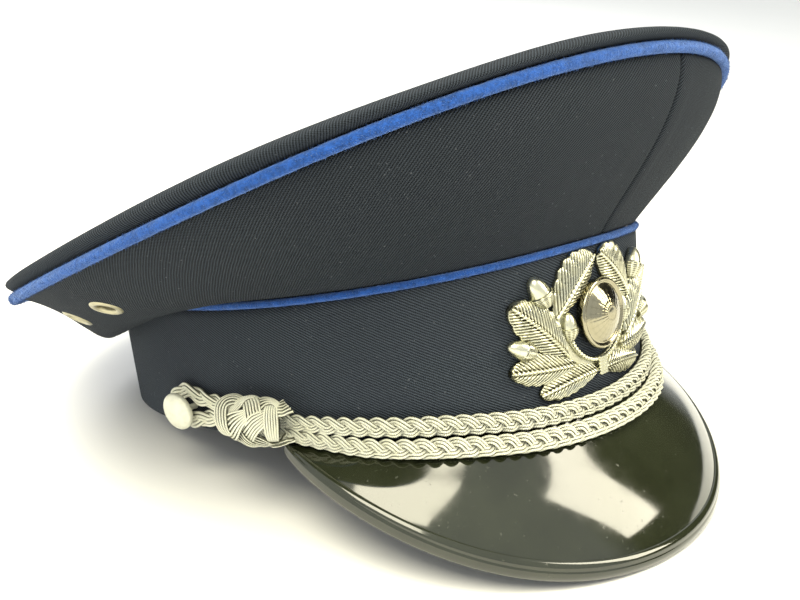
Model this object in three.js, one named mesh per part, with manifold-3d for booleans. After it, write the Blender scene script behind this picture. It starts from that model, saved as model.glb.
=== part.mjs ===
// A peaked uniform cap with a raised front, at rest on its peak and on the back of its band.
// Millimetres, +Z up, the front towards -Y. The pieces are shaped in the cap's own frame, where the band's
// lower edge lies in the plane z = 0, and one group tips them back until the peak and the band touch z = 0.
// Angles run round the head from the front centre, positive towards the wearer's right, which is -X.
import * as THREE from "three";
import { mergeVertices } from "three/addons/utils/BufferGeometryUtils.js";
import Module from "manifold-3d";

const wasm = await Module();
wasm.setup();

const { PI, sin, cos, abs, sign, hypot, floor } = Math;
const rad = THREE.MathUtils.degToRad;
const lerp = THREE.MathUtils.lerp;
const UP = new THREE.Vector3(0, 0, 1);

// Driving dimensions
const GAP = 0.3; // clearance between neighbouring pieces
const COLUMNS = 52; // sections round the head
const HEAD = { length: 202, width: 173, squareness: 0.018, flare: 0.03 };
const SEAM_HEIGHT = { front: 49.7, side: 41.7, back: 44 };
const BAND_WALL = 2.6;
const CLOTH_WALL = 1.6;
const RIM = { length: 259.1, width: 261.6, frontFullness: 0.052, forward: 0.8 };
const RIM_HEIGHT = { front: 105.7, side: 58.6, back: 40.8 };
const ROLL = { inward: 8.5, bulge: 4.6, sag: 2.5 };
const CROWN_SEAM_OFFSET = -5; // degrees that the crown's front and back seams stand off the centre
const SEAM_PIPING = 2.3; // diameter
const RIM_PIPING = 3.6; // diameter
const PEAK = { corner: 68.4, reach: 54, slope: 59.7, fullness: 0.52, spread: 1.82, sideLift: 0.95 };
const PEAK_SHEET = { thickness: 2, crown: 3.5, border: 5, bead: 1.1 };
const CORD_THICKNESS = 4.2;
const KNOT = { angle: 71.8, height: 8, length: 28, tall: 15.6, deep: 11, tip: -3 };
const BUTTON = { angle: 90.3, height: 8.1, out: 6.9, diameter: 12.6, dome: 2.6, shank: 2 };
const EYELET = { outer: 11, hole: 5.6, thickness: 2.6 };
const EYELET_PLACES = [
  { name: "front", angle: 90, along: 0.68 },
  { name: "back", angle: 105, along: 0.71 },
];
const COCKADE = { height: 27.2, diameter: 22.6, rim: 2.2, dome: 5.2, out: 1.2, rays: 11 };

// The crown's side panel is drawn taut at the front and sags over the band at the back: how far its curve
// sets off from the seam and from the rim, and how high the top's roll stands over the piping.
const SIDE_BULGE = [
  { angle: 0, lowOut: 8, lowUp: 13, highOut: 1, highDown: 18, roll: 4.2 },
  { angle: 30, lowOut: 9, lowUp: 11, highOut: 0, highDown: 15, roll: 3.8 },
  { angle: 60, lowOut: 10, lowUp: 5, highOut: -7, highDown: 14, roll: 6.5 },
  { angle: 90, lowOut: 8, lowUp: -8, highOut: -17, highDown: 13, roll: 6 },
  { angle: 120, lowOut: 4, lowUp: -32, highOut: -20, highDown: 9, roll: 5.2 },
  { angle: 150, lowOut: 6, lowUp: -30, highOut: -5, highDown: 16, roll: 5 },
  { angle: 180, lowOut: 6, lowUp: -30, highOut: -5, highDown: 14, roll: 5 },
];

// The chin cord is one closed loop: along the band above, round the button, and back along the peak below.
// Each section stands out from the band's face, is so tall, and leans back by some degrees.
const CORD_ROUTE = [
  { angle: 0, height: -0.6, out: 3.1, tall: 5.8, lean: 12 },
  { angle: 20, height: 0.8, out: 2.9, tall: 6.0, lean: 8 },
  { angle: 40, height: 4.2, out: 2.7, tall: 6.0, lean: 0 },
  { angle: 51, height: 5.5, out: 2.7, tall: 5.8, lean: 0 },
  { angle: 58, height: 6.4, out: 2.8, tall: 4.8, lean: 0 },
  { angle: 65, height: 7.4, out: 3.0, tall: 4.0, lean: 0 },
  { angle: 72, height: 9.9, out: 3.2, tall: 4.2, lean: 0 },
  { angle: 80, height: 11.1, out: 2.9, tall: 4.4, lean: 0 },
  { angle: 86, height: 11.9, out: 2.6, tall: 4.4, lean: 0 },
  { angle: 91, height: 13.7, out: 2.6, tall: 4.4, lean: 0 },
  { angle: 95.6, height: 9.2, out: 2.6, tall: 4.4, lean: 0 },
  { angle: 91, height: 3.9, out: 2.6, tall: 4.4, lean: 0 },
  { angle: 86, height: 5.2, out: 2.6, tall: 4.4, lean: 0 },
  { angle: 80, height: 5.9, out: 2.9, tall: 4.4, lean: 0 },
  { angle: 72, height: 5.1, out: 3.2, tall: 4.0, lean: 0 },
  { angle: 65, height: 3.0, out: 2.9, tall: 3.6, lean: 0 },
  { angle: 58, height: 1.2, out: 3.4, tall: 4.6, lean: 8 },
  { angle: 51, height: -0.5, out: 4.2, tall: 5.6, lean: 16 },
  { angle: 40, height: -1.8, out: 5.4, tall: 6.0, lean: 22 },
  { angle: 20, height: -5.2, out: 6.4, tall: 6.2, lean: 28 },
  { angle: 0, height: -6.4, out: 7.1, tall: 6.2, lean: 30 },
];

// Oak leaves of one half of the wreath, on the band's face: across from the centre and up, root to tip. The
// middle rib bows to its left, and each leaf has its own width to the left and right of that rib.
const LEAVES = [
  { name: "bottom", root: [-0.5, 8.8], tip: [27, 6.2], bow: 1.2, left: 4.8, right: 4.4, lift: 0.9 },
  { name: "lower", root: [11.5, 13.3], tip: [37.3, 15.6], bow: 0, left: 5.4, right: 5, lift: 1.7 },
  { name: "upper", root: [15.5, 16], tip: [35.9, 36], bow: 0.6, left: 6.4, right: 6, lift: 2.1 },
  { name: "top", root: [19.7, 28.5], tip: [1.2, 46.3], bow: -0.7, left: 4.2, right: 8, lift: 1.4 },
];
const ACORNS = [
  { x: 25.2, z: 38.6, turn: 28, length: 10.5, width: 7.6 },
  { x: 32.6, z: 22.3, turn: 66, length: 9.6, width: 6.8 },
  { x: 14.4, z: 25.8, turn: 3, length: 8.8, width: 6 },
];
const LEAF = { lobes: 4, notch: 0.14, crown: 1.3, edge: 0.5 };

// Helpers

// A value that runs smoothly from the front over the sides to the back.
function wave(t, { front, side, back }) {
  const mean = (front + back) / 4 + side / 2;
  return mean + ((front - back) / 2) * cos(t) + ((front + back) / 4 - side / 2) * cos(2 * t);
}

// A column of a table of sections, smoothly interpolated at an angle in radians and mirrored at both ends.
function fromTable(table, column, t) {
  const step = table[1].angle;
  const place = abs(THREE.MathUtils.radToDeg(THREE.MathUtils.euclideanModulo(t + PI, 2 * PI) - PI)) / step;
  const last = table.length - 1;
  const i = Math.min(floor(place), last - 1);
  const at = (k) => table[k < 0 ? -k : k > last ? 2 * last - k : k][column];
  const f = place - i;
  const [a, b, c, d] = [at(i - 1), at(i), at(i + 1), at(i + 2)];
  return b + 0.5 * f * (c - a + f * (2 * a - 5 * b + 4 * c - d + f * (3 * (b - c) + d - a)));
}

// A mesh from a list of points and faces: collapsed faces are dropped after equal points are merged.
function meshOf(points, faces) {
  const open = new THREE.BufferGeometry();
  const numbers = points.flatMap((p) => [p.x, p.y, p.z]);
  open.setAttribute("position", new THREE.Float32BufferAttribute(numbers, 3));
  open.setIndex(faces.flat());
  const merged = mergeVertices(open, 1e-3);
  const index = merged.index.array;
  const kept = [];
  for (let i = 0; i < index.length; i += 3) {
    const [a, b, c] = [index[i], index[i + 1], index[i + 2]];
    if (a !== b && b !== c && c !== a) kept.push(a, b, c);
  }
  merged.setIndex(kept);
  return merged;
}

// A wall between an outer and an inner grid of points, rows running round and columns across. Its edges are
// closed by strips, and its ends too unless it runs full circle.
function wallBetween(outer, inner, fullCircle) {
  const rows = outer.length;
  const across = outer[0].length;
  const points = [...outer.flat(), ...inner.flat()];
  const out = (i, j) => (i % rows) * across + j;
  const inn = (i, j) => rows * across + out(i, j);
  const faces = [];
  const quad = (a, b, c, d) => faces.push([a, b, c], [a, c, d]);
  const steps = fullCircle ? rows : rows - 1;
  for (let i = 0; i < steps; i++) {
    for (let j = 0; j < across - 1; j++) {
      quad(out(i, j), out(i, j + 1), out(i + 1, j + 1), out(i + 1, j));
      quad(inn(i, j), inn(i + 1, j), inn(i + 1, j + 1), inn(i, j + 1));
    }
    const j = across - 1;
    quad(out(i, 0), out(i + 1, 0), inn(i + 1, 0), inn(i, 0));
    quad(out(i, j), inn(i, j), inn(i + 1, j), out(i + 1, j));
  }
  if (!fullCircle) {
    for (let j = 0; j < across - 1; j++) {
      quad(out(0, j), inn(0, j), inn(0, j + 1), out(0, j + 1));
      quad(out(rows - 1, j), out(rows - 1, j + 1), inn(rows - 1, j + 1), inn(rows - 1, j));
    }
  }
  return facingOut(meshOf(points, faces));
}

// A closed tube through loops of points: an endless ring.
function ringOf(loops) {
  const rows = loops.length;
  const sides = loops[0].length;
  const at = (i, j) => (i % rows) * sides + (j % sides);
  const faces = [];
  for (let i = 0; i < rows; i++) {
    for (let j = 0; j < sides; j++) {
      faces.push([at(i, j), at(i + 1, j), at(i + 1, j + 1)], [at(i, j), at(i + 1, j + 1), at(i, j + 1)]);
    }
  }
  return facingOut(meshOf(loops.flat(), faces));
}

// A solid through loops of points, closed at each end by a fan round its middle.
function barOf(loops) {
  const rows = loops.length;
  const sides = loops[0].length;
  const at = (i, j) => i * sides + (j % sides);
  const middle = (loop) => loop.reduce((sum, p) => sum.add(p), new THREE.Vector3()).divideScalar(sides);
  const points = [...loops.flat(), middle(loops[0]), middle(loops[rows - 1])];
  const first = rows * sides;
  const faces = [];
  for (let j = 0; j < sides; j++) {
    for (let i = 0; i < rows - 1; i++) {
      faces.push([at(i, j), at(i + 1, j), at(i + 1, j + 1)], [at(i, j), at(i + 1, j + 1), at(i, j + 1)]);
    }
    faces.push([first, at(0, j), at(0, j + 1)], [first + 1, at(rows - 1, j + 1), at(rows - 1, j)]);
  }
  return facingOut(meshOf(points, faces));
}

// The same mesh with its faces turned outwards, told by the sign of its volume.
function facingOut(geometry) {
  const p = geometry.attributes.position;
  const index = geometry.index.array;
  const [a, b, c] = [new THREE.Vector3(), new THREE.Vector3(), new THREE.Vector3()];
  let volume = 0;
  for (let i = 0; i < index.length; i += 3) {
    a.fromBufferAttribute(p, index[i]);
    b.fromBufferAttribute(p, index[i + 1]);
    c.fromBufferAttribute(p, index[i + 2]);
    volume += a.dot(b.cross(c));
  }
  if (volume < 0) {
    for (let i = 0; i < index.length; i += 3) [index[i], index[i + 1]] = [index[i + 1], index[i]];
  }
  return geometry;
}

function toManifold(geometry) {
  const bare = new THREE.BufferGeometry();
  bare.setAttribute("position", geometry.attributes.position);
  if (geometry.index) bare.setIndex(geometry.index);
  const merged = mergeVertices(bare, 1e-3);
  return new wasm.Manifold(new wasm.Mesh({
    numProp: 3,
    vertProperties: merged.attributes.position.array,
    triVerts: new Uint32Array(merged.index.array),
  }));
}

function toGeometry(solid) {
  const mesh = solid.getMesh();
  const geometry = new THREE.BufferGeometry();
  geometry.setAttribute("position", new THREE.BufferAttribute(mesh.vertProperties, 3));
  geometry.setIndex(new THREE.BufferAttribute(mesh.triVerts, 1));
  return geometry;
}

const joined = (parts) => toGeometry(parts.map(toManifold).reduce((whole, part) => whole.add(part)));
const cutBy = (part, tools) =>
  toGeometry(tools.map(toManifold).reduce((rest, tool) => rest.subtract(tool), toManifold(part)));

// A lathe solid whose axis, the profile's y, is turned to point along a direction from a place.
function turnedAt(profile, sides, place, direction) {
  const geometry = new THREE.LatheGeometry(profile.map(([r, y]) => new THREE.Vector2(r, y)), sides);
  geometry.deleteAttribute("normal");
  geometry.deleteAttribute("uv");
  const turn = new THREE.Quaternion().setFromUnitVectors(new THREE.Vector3(0, 1, 0), direction);
  geometry.applyQuaternion(turn).translate(place.x, place.y, place.z);
  const p = geometry.attributes.position;
  const points = Array.from({ length: p.count }, (_, i) => new THREE.Vector3().fromBufferAttribute(p, i));
  const index = geometry.index.array;
  const faces = Array.from({ length: index.length / 3 }, (_, i) => [...index.slice(3 * i, 3 * i + 3)]);
  return facingOut(meshOf(points, faces));
}

const span = (count, from = 0, to = 1) =>
  Array.from({ length: count }, (_, i) => lerp(from, to, i / (count - 1)));
const roundAngles = (count) => Array.from({ length: count }, (_, i) => (2 * PI * i) / count);

// Surfaces of the cap

function ovalPoint(t, length, width, squareness, fullness = 0) {
  const k = 1 - squareness * cos(4 * t);
  const x = (-width / 2) * sin(t) * (1 + fullness * cos(t)) * k;
  return new THREE.Vector3(x, (-length / 2) * cos(t) * k, 0);
}

// The outward direction of an oval at t, level with the band's edge.
function outward(pointAt, t) {
  const step = pointAt(t + 1e-3).sub(pointAt(t - 1e-3));
  return new THREE.Vector3(-step.y, step.x, 0).normalize();
}

const headOval = (t) => ovalPoint(t, HEAD.length, HEAD.width, HEAD.squareness);
const headOut = (t) => outward(headOval, t);

// A point on the band: at an angle, a height, and a distance out from its face.
const onBand = (t, height, out = 0) =>
  headOval(t).addScaledVector(headOut(t), out + HEAD.flare * Math.max(height, 0)).setZ(height);

const seamHeight = (t) => wave(t, SEAM_HEIGHT);

const rimOval = (t) => ovalPoint(t, RIM.length, RIM.width, 0, RIM.frontFullness);
const rimPoint = (t) => {
  const p = rimOval(t);
  p.y -= RIM.forward;
  return p.setZ(wave(t, RIM_HEIGHT));
};
const rimOut = (t) => outward(rimOval, t);

// The side panel's curve from seam to rim at one angle. It starts above the piping, or beside it where it
// sags.
function sideCurve(t) {
  const bulge = (column) => fromTable(SIDE_BULGE, column, t);
  const out = headOut(t).lerp(rimOut(t), 0.5).normalize();
  const [lowOut, lowUp] = [bulge("lowOut"), bulge("lowUp")];
  const round = Math.max(0, -lowUp) / hypot(lowOut, lowUp);
  const clear = SEAM_PIPING / 2 + GAP;
  const low = onBand(t, seamHeight(t), -0.2).addScaledVector(out, clear * round)
    .addScaledVector(UP, clear * Math.sqrt(1 - round ** 2));
  const [highOut, highDown] = [bulge("highOut"), bulge("highDown")];
  const back = out.clone().multiplyScalar(highOut).addScaledVector(UP, -highDown);
  const unit = back.clone().normalize();
  const high = rimPoint(t).addScaledVector(unit, RIM_PIPING / 2 + GAP)
    .addScaledVector(out, 0.7 * unit.z).addScaledVector(UP, (-0.7 * highOut) / back.length());
  const nearLow = low.clone().addScaledVector(out, lowOut).addScaledVector(UP, lowUp);
  const nearHigh = high.clone().add(back);
  return new THREE.CubicBezierCurve3(low, nearLow, nearHigh, high);
}

// A point on the side panel at an angle and a share of the way up, pushed in by depth.
function onSide(t, share, depth = 0) {
  const curve = sideCurve(t);
  const round = sideCurve(t + 0.01).getPoint(share).sub(sideCurve(t - 0.01).getPoint(share));
  const normal = curve.getTangent(share).cross(round).normalize();
  return curve.getPoint(share).addScaledVector(normal, -depth);
}

// The peak from corner to corner: u runs from -1 to 1.
const peakFullness = (u) => cos((PI / 2) * u) ** PEAK.fullness;
const peakAngle = (u) => rad(PEAK.corner) * u;

function peakEdge(u) {
  const phi = peakAngle(u);
  const full = peakFullness(u);
  const way = new THREE.Vector3(-sin(phi) * PEAK.spread, -1, 0).normalize();
  const edge = headOval(phi).addScaledVector(way, PEAK.reach * full * cos(rad(PEAK.slope)));
  edge.z = -PEAK.reach * full * sin(rad(PEAK.slope)) * (1 - PEAK.sideLift * (1 - full));
  return edge;
}

// Pieces in the cap's own frame

function band() {
  const rows = roundAngles(COLUMNS).map((t) => {
    const top = seamHeight(t) - SEAM_PIPING / 2 - GAP;
    const face = [[0, -0.8], [0.8, 0], [top / 2, 0], [top, 0]];
    return {
      outer: face.map(([height, out]) => onBand(t, height, out)),
      inner: face.map(([height]) => onBand(t, height, -BAND_WALL)),
    };
  });
  return wallBetween(rows.map((r) => r.outer), rows.map((r) => r.inner), true);
}

function seamPiping() {
  return ringOf(roundAngles(COLUMNS).map((t) => roundAngles(5).map((a) =>
    onBand(t, seamHeight(t) + (SEAM_PIPING / 2) * sin(a), -0.2 + (SEAM_PIPING / 2) * cos(a)))));
}

function crownSide(from, to) {
  const halfGap = GAP / 2 / HEAD.length;
  const rows = span(COLUMNS / 2 + 1, from + halfGap, to - halfGap).map((t) => ({
    outer: span(8).map((share) => onSide(t, share)),
    inner: span(8).map((share) => onSide(t, share, CLOTH_WALL)),
  }));
  return wallBetween(rows.map((r) => r.outer), rows.map((r) => r.inner), false);
}

function rimPiping() {
  const radius = RIM_PIPING / 2;
  return ringOf(roundAngles(COLUMNS).map((t) => roundAngles(5).map((a) =>
    rimPoint(t).addScaledVector(rimOut(t), radius * cos(a)).addScaledVector(UP, radius * sin(a)))));
}

// The crown's top: rolled over its hidden wire at the edge, and sagging a little towards its middle.
function crownTop() {
  const edge = RIM_PIPING / 2 + GAP;
  const height = (t, share) => {
    const { front, side, back } = RIM_HEIGHT;
    const mean = (front + back) / 4 + side / 2;
    const tilt = (front - back) / 2;
    const bend = (front + back) / 4 - side / 2;
    return mean + share * tilt * cos(t) + share ** 2 * bend * cos(2 * t);
  };
  const profile = (t, depth) => {
    const up = fromTable(SIDE_BULGE, "roll", t);
    const roll = span(4, 0, PI / 2).map((a) => {
      const inward = 0.7 + ROLL.inward - (ROLL.inward - depth) * cos(a) - ROLL.bulge * sin(2 * a);
      const height = edge + (up - depth) * sin(a);
      return rimPoint(t).addScaledVector(rimOut(t), -inward).addScaledVector(UP, height);
    });
    const start = roll[3].clone();
    const flat = [0.7, 0.35, 0].map((share) => {
      const p = start.clone().multiplyScalar(share);
      p.y -= RIM.forward * (1 - share);
      p.z = height(t, share) + edge + up * share + 5.2 * (1 - share) - depth - ROLL.sag * (1 - share ** 2);
      return p;
    });
    return [...roll, ...flat];
  };
  const rows = roundAngles(COLUMNS);
  return discBetween(rows.map((t) => profile(t, 0)), rows.map((t) => profile(t, CLOTH_WALL)));
}

// A wall like wallBetween's, whose last column is one point at the middle.
function discBetween(outer, inner) {
  const rows = outer.length;
  const across = outer[0].length;
  const points = [...outer.flat(), ...inner.flat()];
  const out = (i, j) => (i % rows) * across + j;
  const inn = (i, j) => rows * across + out(i, j);
  const faces = [];
  const quad = (a, b, c, d) => faces.push([a, b, c], [a, c, d]);
  for (let i = 0; i < rows; i++) {
    for (let j = 0; j < across - 1; j++) {
      quad(out(i, j), out(i, j + 1), out(i + 1, j + 1), out(i + 1, j));
      quad(inn(i, j), inn(i + 1, j), inn(i + 1, j + 1), inn(i, j + 1));
    }
    quad(out(i, 0), out(i + 1, 0), inn(i + 1, 0), inn(i, 0));
  }
  return facingOut(meshOf(points, faces));
}

// The peak: a flange under the band, a full sheet, and a bead along its border.
function peak() {
  const { thickness, crown, bead } = PEAK_SHEET;
  const rows = span(29, -1, 1).map((w) => sin((PI / 2) * w) * 0.985).map((u) => {
    const phi = peakAngle(u);
    const full = peakFullness(u);
    const root = onBand(phi, -GAP, -0.4);
    const edge = peakEdge(u);
    const reach = edge.distanceTo(root);
    const border = Math.min(PEAK_SHEET.border, 0.5 * reach);
    const along = edge.clone().sub(root).normalize();
    const across = new THREE.Vector3(cos(phi), -sin(phi) * 0.4, 0).normalize();
    const normal = across.cross(along).normalize();
    if (normal.z < 0) normal.negate();
    const riseAt = (share) => 6.75 * crown * full * share ** 2 * (1 - share);
    const shape = (d) => {
      const rise = riseAt(d / reach);
      const toEdge = reach - d;
      const ridge = toEdge < border ? bead * sin((PI * toEdge) / border) ** 0.6 : 0;
      return root.clone().addScaledVector(along, d).addScaledVector(normal, rise + ridge);
    };
    const stops = [0, 0.33, 0.66].map((s) => s * (reach - border));
    const rim = [1, 0.7, 0.3, 0].map((s) => reach - s * border);
    const face = [...stops, ...rim].map(shape);
    const flange = onBand(phi, -GAP, -BAND_WALL);
    const top = [flange, ...face];
    const below = [...stops, ...rim].map((d) =>
      root.clone().addScaledVector(along, d).addScaledVector(normal, riseAt(d / reach) - thickness));
    const back = [onBand(phi, -GAP - thickness, -BAND_WALL), ...below];
    return { outer: top, inner: back };
  });
  return wallBetween(rows.map((r) => r.outer), rows.map((r) => r.inner), false);
}

// The chin cord's middle line with its section at each step. The route is walked on the wearer's right and
// back again, mirrored, on the left.
function cordStations() {
  const right = CORD_ROUTE;
  const left = CORD_ROUTE.slice(1, -1).reverse().map((row) => ({ ...row, angle: -row.angle }));
  const rows = [...right, ...left];
  const knots = rows.map((row) => onBand(rad(row.angle), row.height, row.out));
  const place = new THREE.CatmullRomCurve3(knots, true, "centripetal");
  const steps = 92;
  const between = (column, f) => {
    const k = (f * rows.length) % rows.length;
    const i = floor(k);
    return lerp(rows[i][column], rows[(i + 1) % rows.length][column], k - i);
  };
  return Array.from({ length: steps }, (_, i) => {
    const f = i / steps;
    const point = place.getPoint(f);
    const tangent = place.getTangent(f);
    const t = Math.atan2(-point.x / HEAD.width, -point.y / HEAD.length);
    const lean = rad(between("lean", f));
    const face = headOut(t).multiplyScalar(cos(lean)).addScaledVector(UP, sin(lean));
    const out = face.addScaledVector(tangent, -face.dot(tangent)).normalize();
    const side = tangent.clone().cross(out).normalize();
    return { point, out, side, tall: between("tall", f) };
  });
}

function cordLoops(extra) {
  return cordStations().map(({ point, out, side, tall }) => roundAngles(6).map((a) =>
    point.clone().addScaledVector(out, (CORD_THICKNESS / 2 + extra) * sin(a))
      .addScaledVector(side, (tall / 2 + extra) * cos(a))));
}

// A slide knot: a barrel round both runs of the cord, with a tunnel for each.
function knot(hand) {
  const t = rad(KNOT.angle) * hand;
  const middle = onBand(t, KNOT.height, KNOT.deep / 2 + 0.2);
  const out = headOut(t);
  const level = new THREE.Vector3(out.y, -out.x, 0).multiplyScalar(-hand);
  const along = level.clone().multiplyScalar(cos(rad(KNOT.tip))).addScaledVector(UP, -sin(rad(KNOT.tip)));
  const tall = out.clone().cross(along).normalize();
  const loops = span(8, -1, 1).map((s) => {
    const k = Math.sqrt(1 - 0.62 * s * s) * (1 - 0.1 * s);
    const centre = middle.clone().addScaledVector(along, (KNOT.length / 2) * s);
    return roundAngles(10).map((a) => centre.clone().addScaledVector(out, (KNOT.deep / 2) * k * sin(a))
      .addScaledVector(tall, (KNOT.tall / 2) * k * cos(a)));
  });
  const keepOff = wallBetween(
    span(13, t - 0.3, t + 0.3).map((a) => [-2, 22].map((z) => onBand(a, z, GAP))),
    span(13, t - 0.3, t + 0.3).map((a) => [-2, 22].map((z) => onBand(a, z, -BAND_WALL))),
    false,
  );
  return cutBy(barOf(loops), [ringOf(cordLoops(GAP)), keepOff]);
}

function button(hand) {
  const t = rad(BUTTON.angle) * hand;
  const foot = onBand(t, BUTTON.height, GAP);
  const out = headOut(t);
  const face = out.clone().add(new THREE.Vector3(0, -0.12, -0.12)).normalize();
  const r = BUTTON.diameter / 2;
  const middle = foot.clone().addScaledVector(out, BUTTON.out);
  const cap = turnedAt([[0, -0.9], [r - 1, -0.9], [r, -0.1], [r, 0.5], [r * 0.8, BUTTON.dome * 0.62],
    [r * 0.45, BUTTON.dome * 0.92], [0, BUTTON.dome]], 14, middle, face);
  const shank = turnedAt([[0, 0], [BUTTON.shank / 2, 0], [BUTTON.shank / 2, BUTTON.out - 0.2],
    [0, BUTTON.out - 0.2]], 8, foot, out);
  return joined([cap, shank]);
}

function eyeletFrame(place, hand) {
  const t = rad(place.angle) * hand;
  const middle = onSide(t, place.along, CLOTH_WALL / 2);
  const normal = onSide(t, place.along).sub(onSide(t, place.along, CLOTH_WALL)).normalize();
  return { middle, normal };
}

function eyelet(place, hand) {
  const { middle, normal } = eyeletFrame(place, hand);
  const [r, hole, half] = [EYELET.outer / 2, EYELET.hole / 2, EYELET.thickness / 2];
  const profile = [[hole, -half], [r - 0.5, -half], [r, 0.2], [r - 0.9, half], [hole, half - 0.4],
    [hole, -half]];
  return turnedAt(profile, 12, middle, normal);
}

function eyeletHole(place, hand) {
  const { middle, normal } = eyeletFrame(place, hand);
  const r = EYELET.outer / 2 + GAP;
  return turnedAt([[0, -4], [r, -4], [r, 4], [0, 4]], 12, middle, normal);
}

// A point of the badge: x across the band's face from its centre, z up, lift out from the cloth.
function onBadge(x, z, lift) {
  const perRadian = HEAD.width / 2; // near the front the face is almost a circle of the head's half width
  let t = x / perRadian;
  for (let i = 0; i < 3; i++) t += (x - abs(arcTo(t)) * sign(t || 1)) / perRadian;
  return onBand(t, z, GAP + lift);
}

function arcTo(t) {
  const steps = 12;
  const points = span(steps + 1, 0, t).map(headOval);
  return points.slice(1).reduce((length, point, i) => length + point.distanceTo(points[i]), 0);
}

// An oak leaf: broadest past its middle, lobed, crowned across, with a raised middle rib.
function leaf(row, hand) {
  const root = new THREE.Vector2(...row.root);
  const tip = new THREE.Vector2(...row.tip);
  const along = tip.clone().sub(root).normalize();
  const bow = new THREE.Vector2(-along.y, along.x).multiplyScalar(2 * row.bow);
  const bowed = root.clone().add(tip).multiplyScalar(0.5).add(bow);
  const rib = new THREE.QuadraticBezierCurve(root, bowed, tip);
  const loops = span(2 * LEAF.lobes + 1, 0.04, 0.98).map((s, i) => {
    const middle = rib.getPoint(s);
    const tangent = rib.getTangent(s);
    const body = sin(PI * s ** 1.3) ** 0.6;
    const reach = body * (i % 2 ? 1 : 1 - LEAF.notch);
    const at = (across, lift) => {
      const width = across * reach * (across > 0 ? row.left : row.right);
      return onBadge(hand * (middle.x - tangent.y * width), middle.y + tangent.x * width, lift);
    };
    const top = (share) => row.lift + LEAF.crown * share * body ** 0.5;
    const edge = row.lift * 0.4 + LEAF.edge;
    return [at(-1, 0), at(-1, edge), at(-0.55, top(0.9)), at(0, top(1)), at(0.55, top(0.9)), at(1, edge),
      at(1, 0)];
  });
  return barOf(loops);
}

// An acorn with its cup, lying on the badge.
function acorn(row, hand) {
  const turn = rad(row.turn);
  const along = new THREE.Vector2(sin(turn), cos(turn));
  const side = new THREE.Vector2(cos(turn), -sin(turn));
  const shape = [[-0.5, 0.5], [-0.38, 0.92], [-0.08, 1], [-0.04, 0.84], [0.28, 0.74], [0.5, 0.2]];
  const loops = shape.map(([s, k]) => roundAngles(6).map((a) => {
    const across = (row.width / 2) * k * cos(a);
    const height = sin(a) > -0.1 ? 1.2 + (row.width / 2) * k * sin(a) : 0;
    return onBadge(hand * (row.x + along.x * s * row.length + side.x * across),
      row.z + along.y * s * row.length + side.y * across, height);
  }));
  return barOf(loops);
}

// The plate that the leaves are struck on: a bow from branch to branch under the cockade, and its binding.
function wreathGround() {
  const round = (a, q, lift) => onBadge(q * sin(a), COCKADE.height - q * cos(a), lift);
  const arc = (reach, r, wide, tall) => wallBetween(
    span(11, -rad(reach), rad(reach)).map((a) => [r + wide, r].map((q) => round(a, q, tall))),
    span(11, -rad(reach), rad(reach)).map((a) => [r + wide, r].map((q) => round(a, q, 0))),
    false,
  );
  const bow = arc(110, 14.3, 5, 0.9);
  const beads = arc(84, 14.2, 1.3, 2.2);
  const binding = wallBetween(
    span(4, -1.9, 1.9).map((x) => [6.6, 13].map((z) => onBadge(x, z, 3.0))),
    span(4, -1.9, 1.9).map((x) => [6.6, 13].map((z) => onBadge(x, z, 0))),
    false,
  );
  return [bow, beads, binding];
}

function wreath() {
  const halves = [1, -1].flatMap((hand) => [
    ...LEAVES.map((row) => leaf(row, hand)),
    ...ACORNS.map((row) => acorn(row, hand)),
  ]);
  return joined([...wreathGround(), ...halves]);
}

// The cockade: a domed button with a beaded rim and plain rays.
function cockade() {
  const out = headOut(0);
  const r = COCKADE.diameter / 2;
  const foot = onBand(0, COCKADE.height, GAP + HEAD.flare * r);
  const { rim, dome, out: lift } = COCKADE;
  const rows = [[r - 0.8, 0], [r, 0.5 + lift], [r, rim + lift - 0.4], [r - 0.7, rim + lift],
    [r - 1.5, rim + lift - 0.5], [r * 0.72, rim + lift + 0.9], [r * 0.45, dome + lift - 0.9],
    [r * 0.2, dome + lift - 0.2]];
  const sides = 2 * COCKADE.rays;
  const across = new THREE.Vector3(1, 0, 0);
  const loops = rows.map(([q, h], k) => roundAngles(sides).map((a, i) => {
    const ray = k > 4 && i % 2 ? 0.35 : 0;
    return foot.clone().addScaledVector(out, h - ray).addScaledVector(across, q * cos(a))
      .addScaledVector(UP, q * sin(a));
  }));
  return barOf(loops);
}

// Finishes
const finish = (name, color, roughness, metalness) =>
  new THREE.MeshStandardMaterial({ name, color, roughness, metalness });
const CLOTH = finish("navy_twill", 0x1c2130, 0.9, 0);
const FELT = finish("blue_felt", 0x2a5fd0, 0.95, 0);
const GLOSS = finish("black_gloss", 0x15160f, 0.12, 0);
const BULLION = finish("silver_bullion", 0xd8d8c8, 0.4, 0.8);
const STRUCK = finish("silver_badge", 0xcfccb4, 0.25, 1);
const PEARL = finish("button_silver", 0xe6e4d2, 0.5, 0.6);
const BRASS = finish("eyelet_metal", 0x8c8668, 0.4, 0.9);

const cap = new THREE.Group();

function piece(name, geometry, material) {
  const mesh = new THREE.Mesh(geometry, material);
  mesh.name = name;
  cap.add(mesh);
}

const CROWN_SEAM = rad(CROWN_SEAM_OFFSET);
const HANDS = [{ hand: 1, side: "right" }, { hand: -1, side: "left" }];

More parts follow.
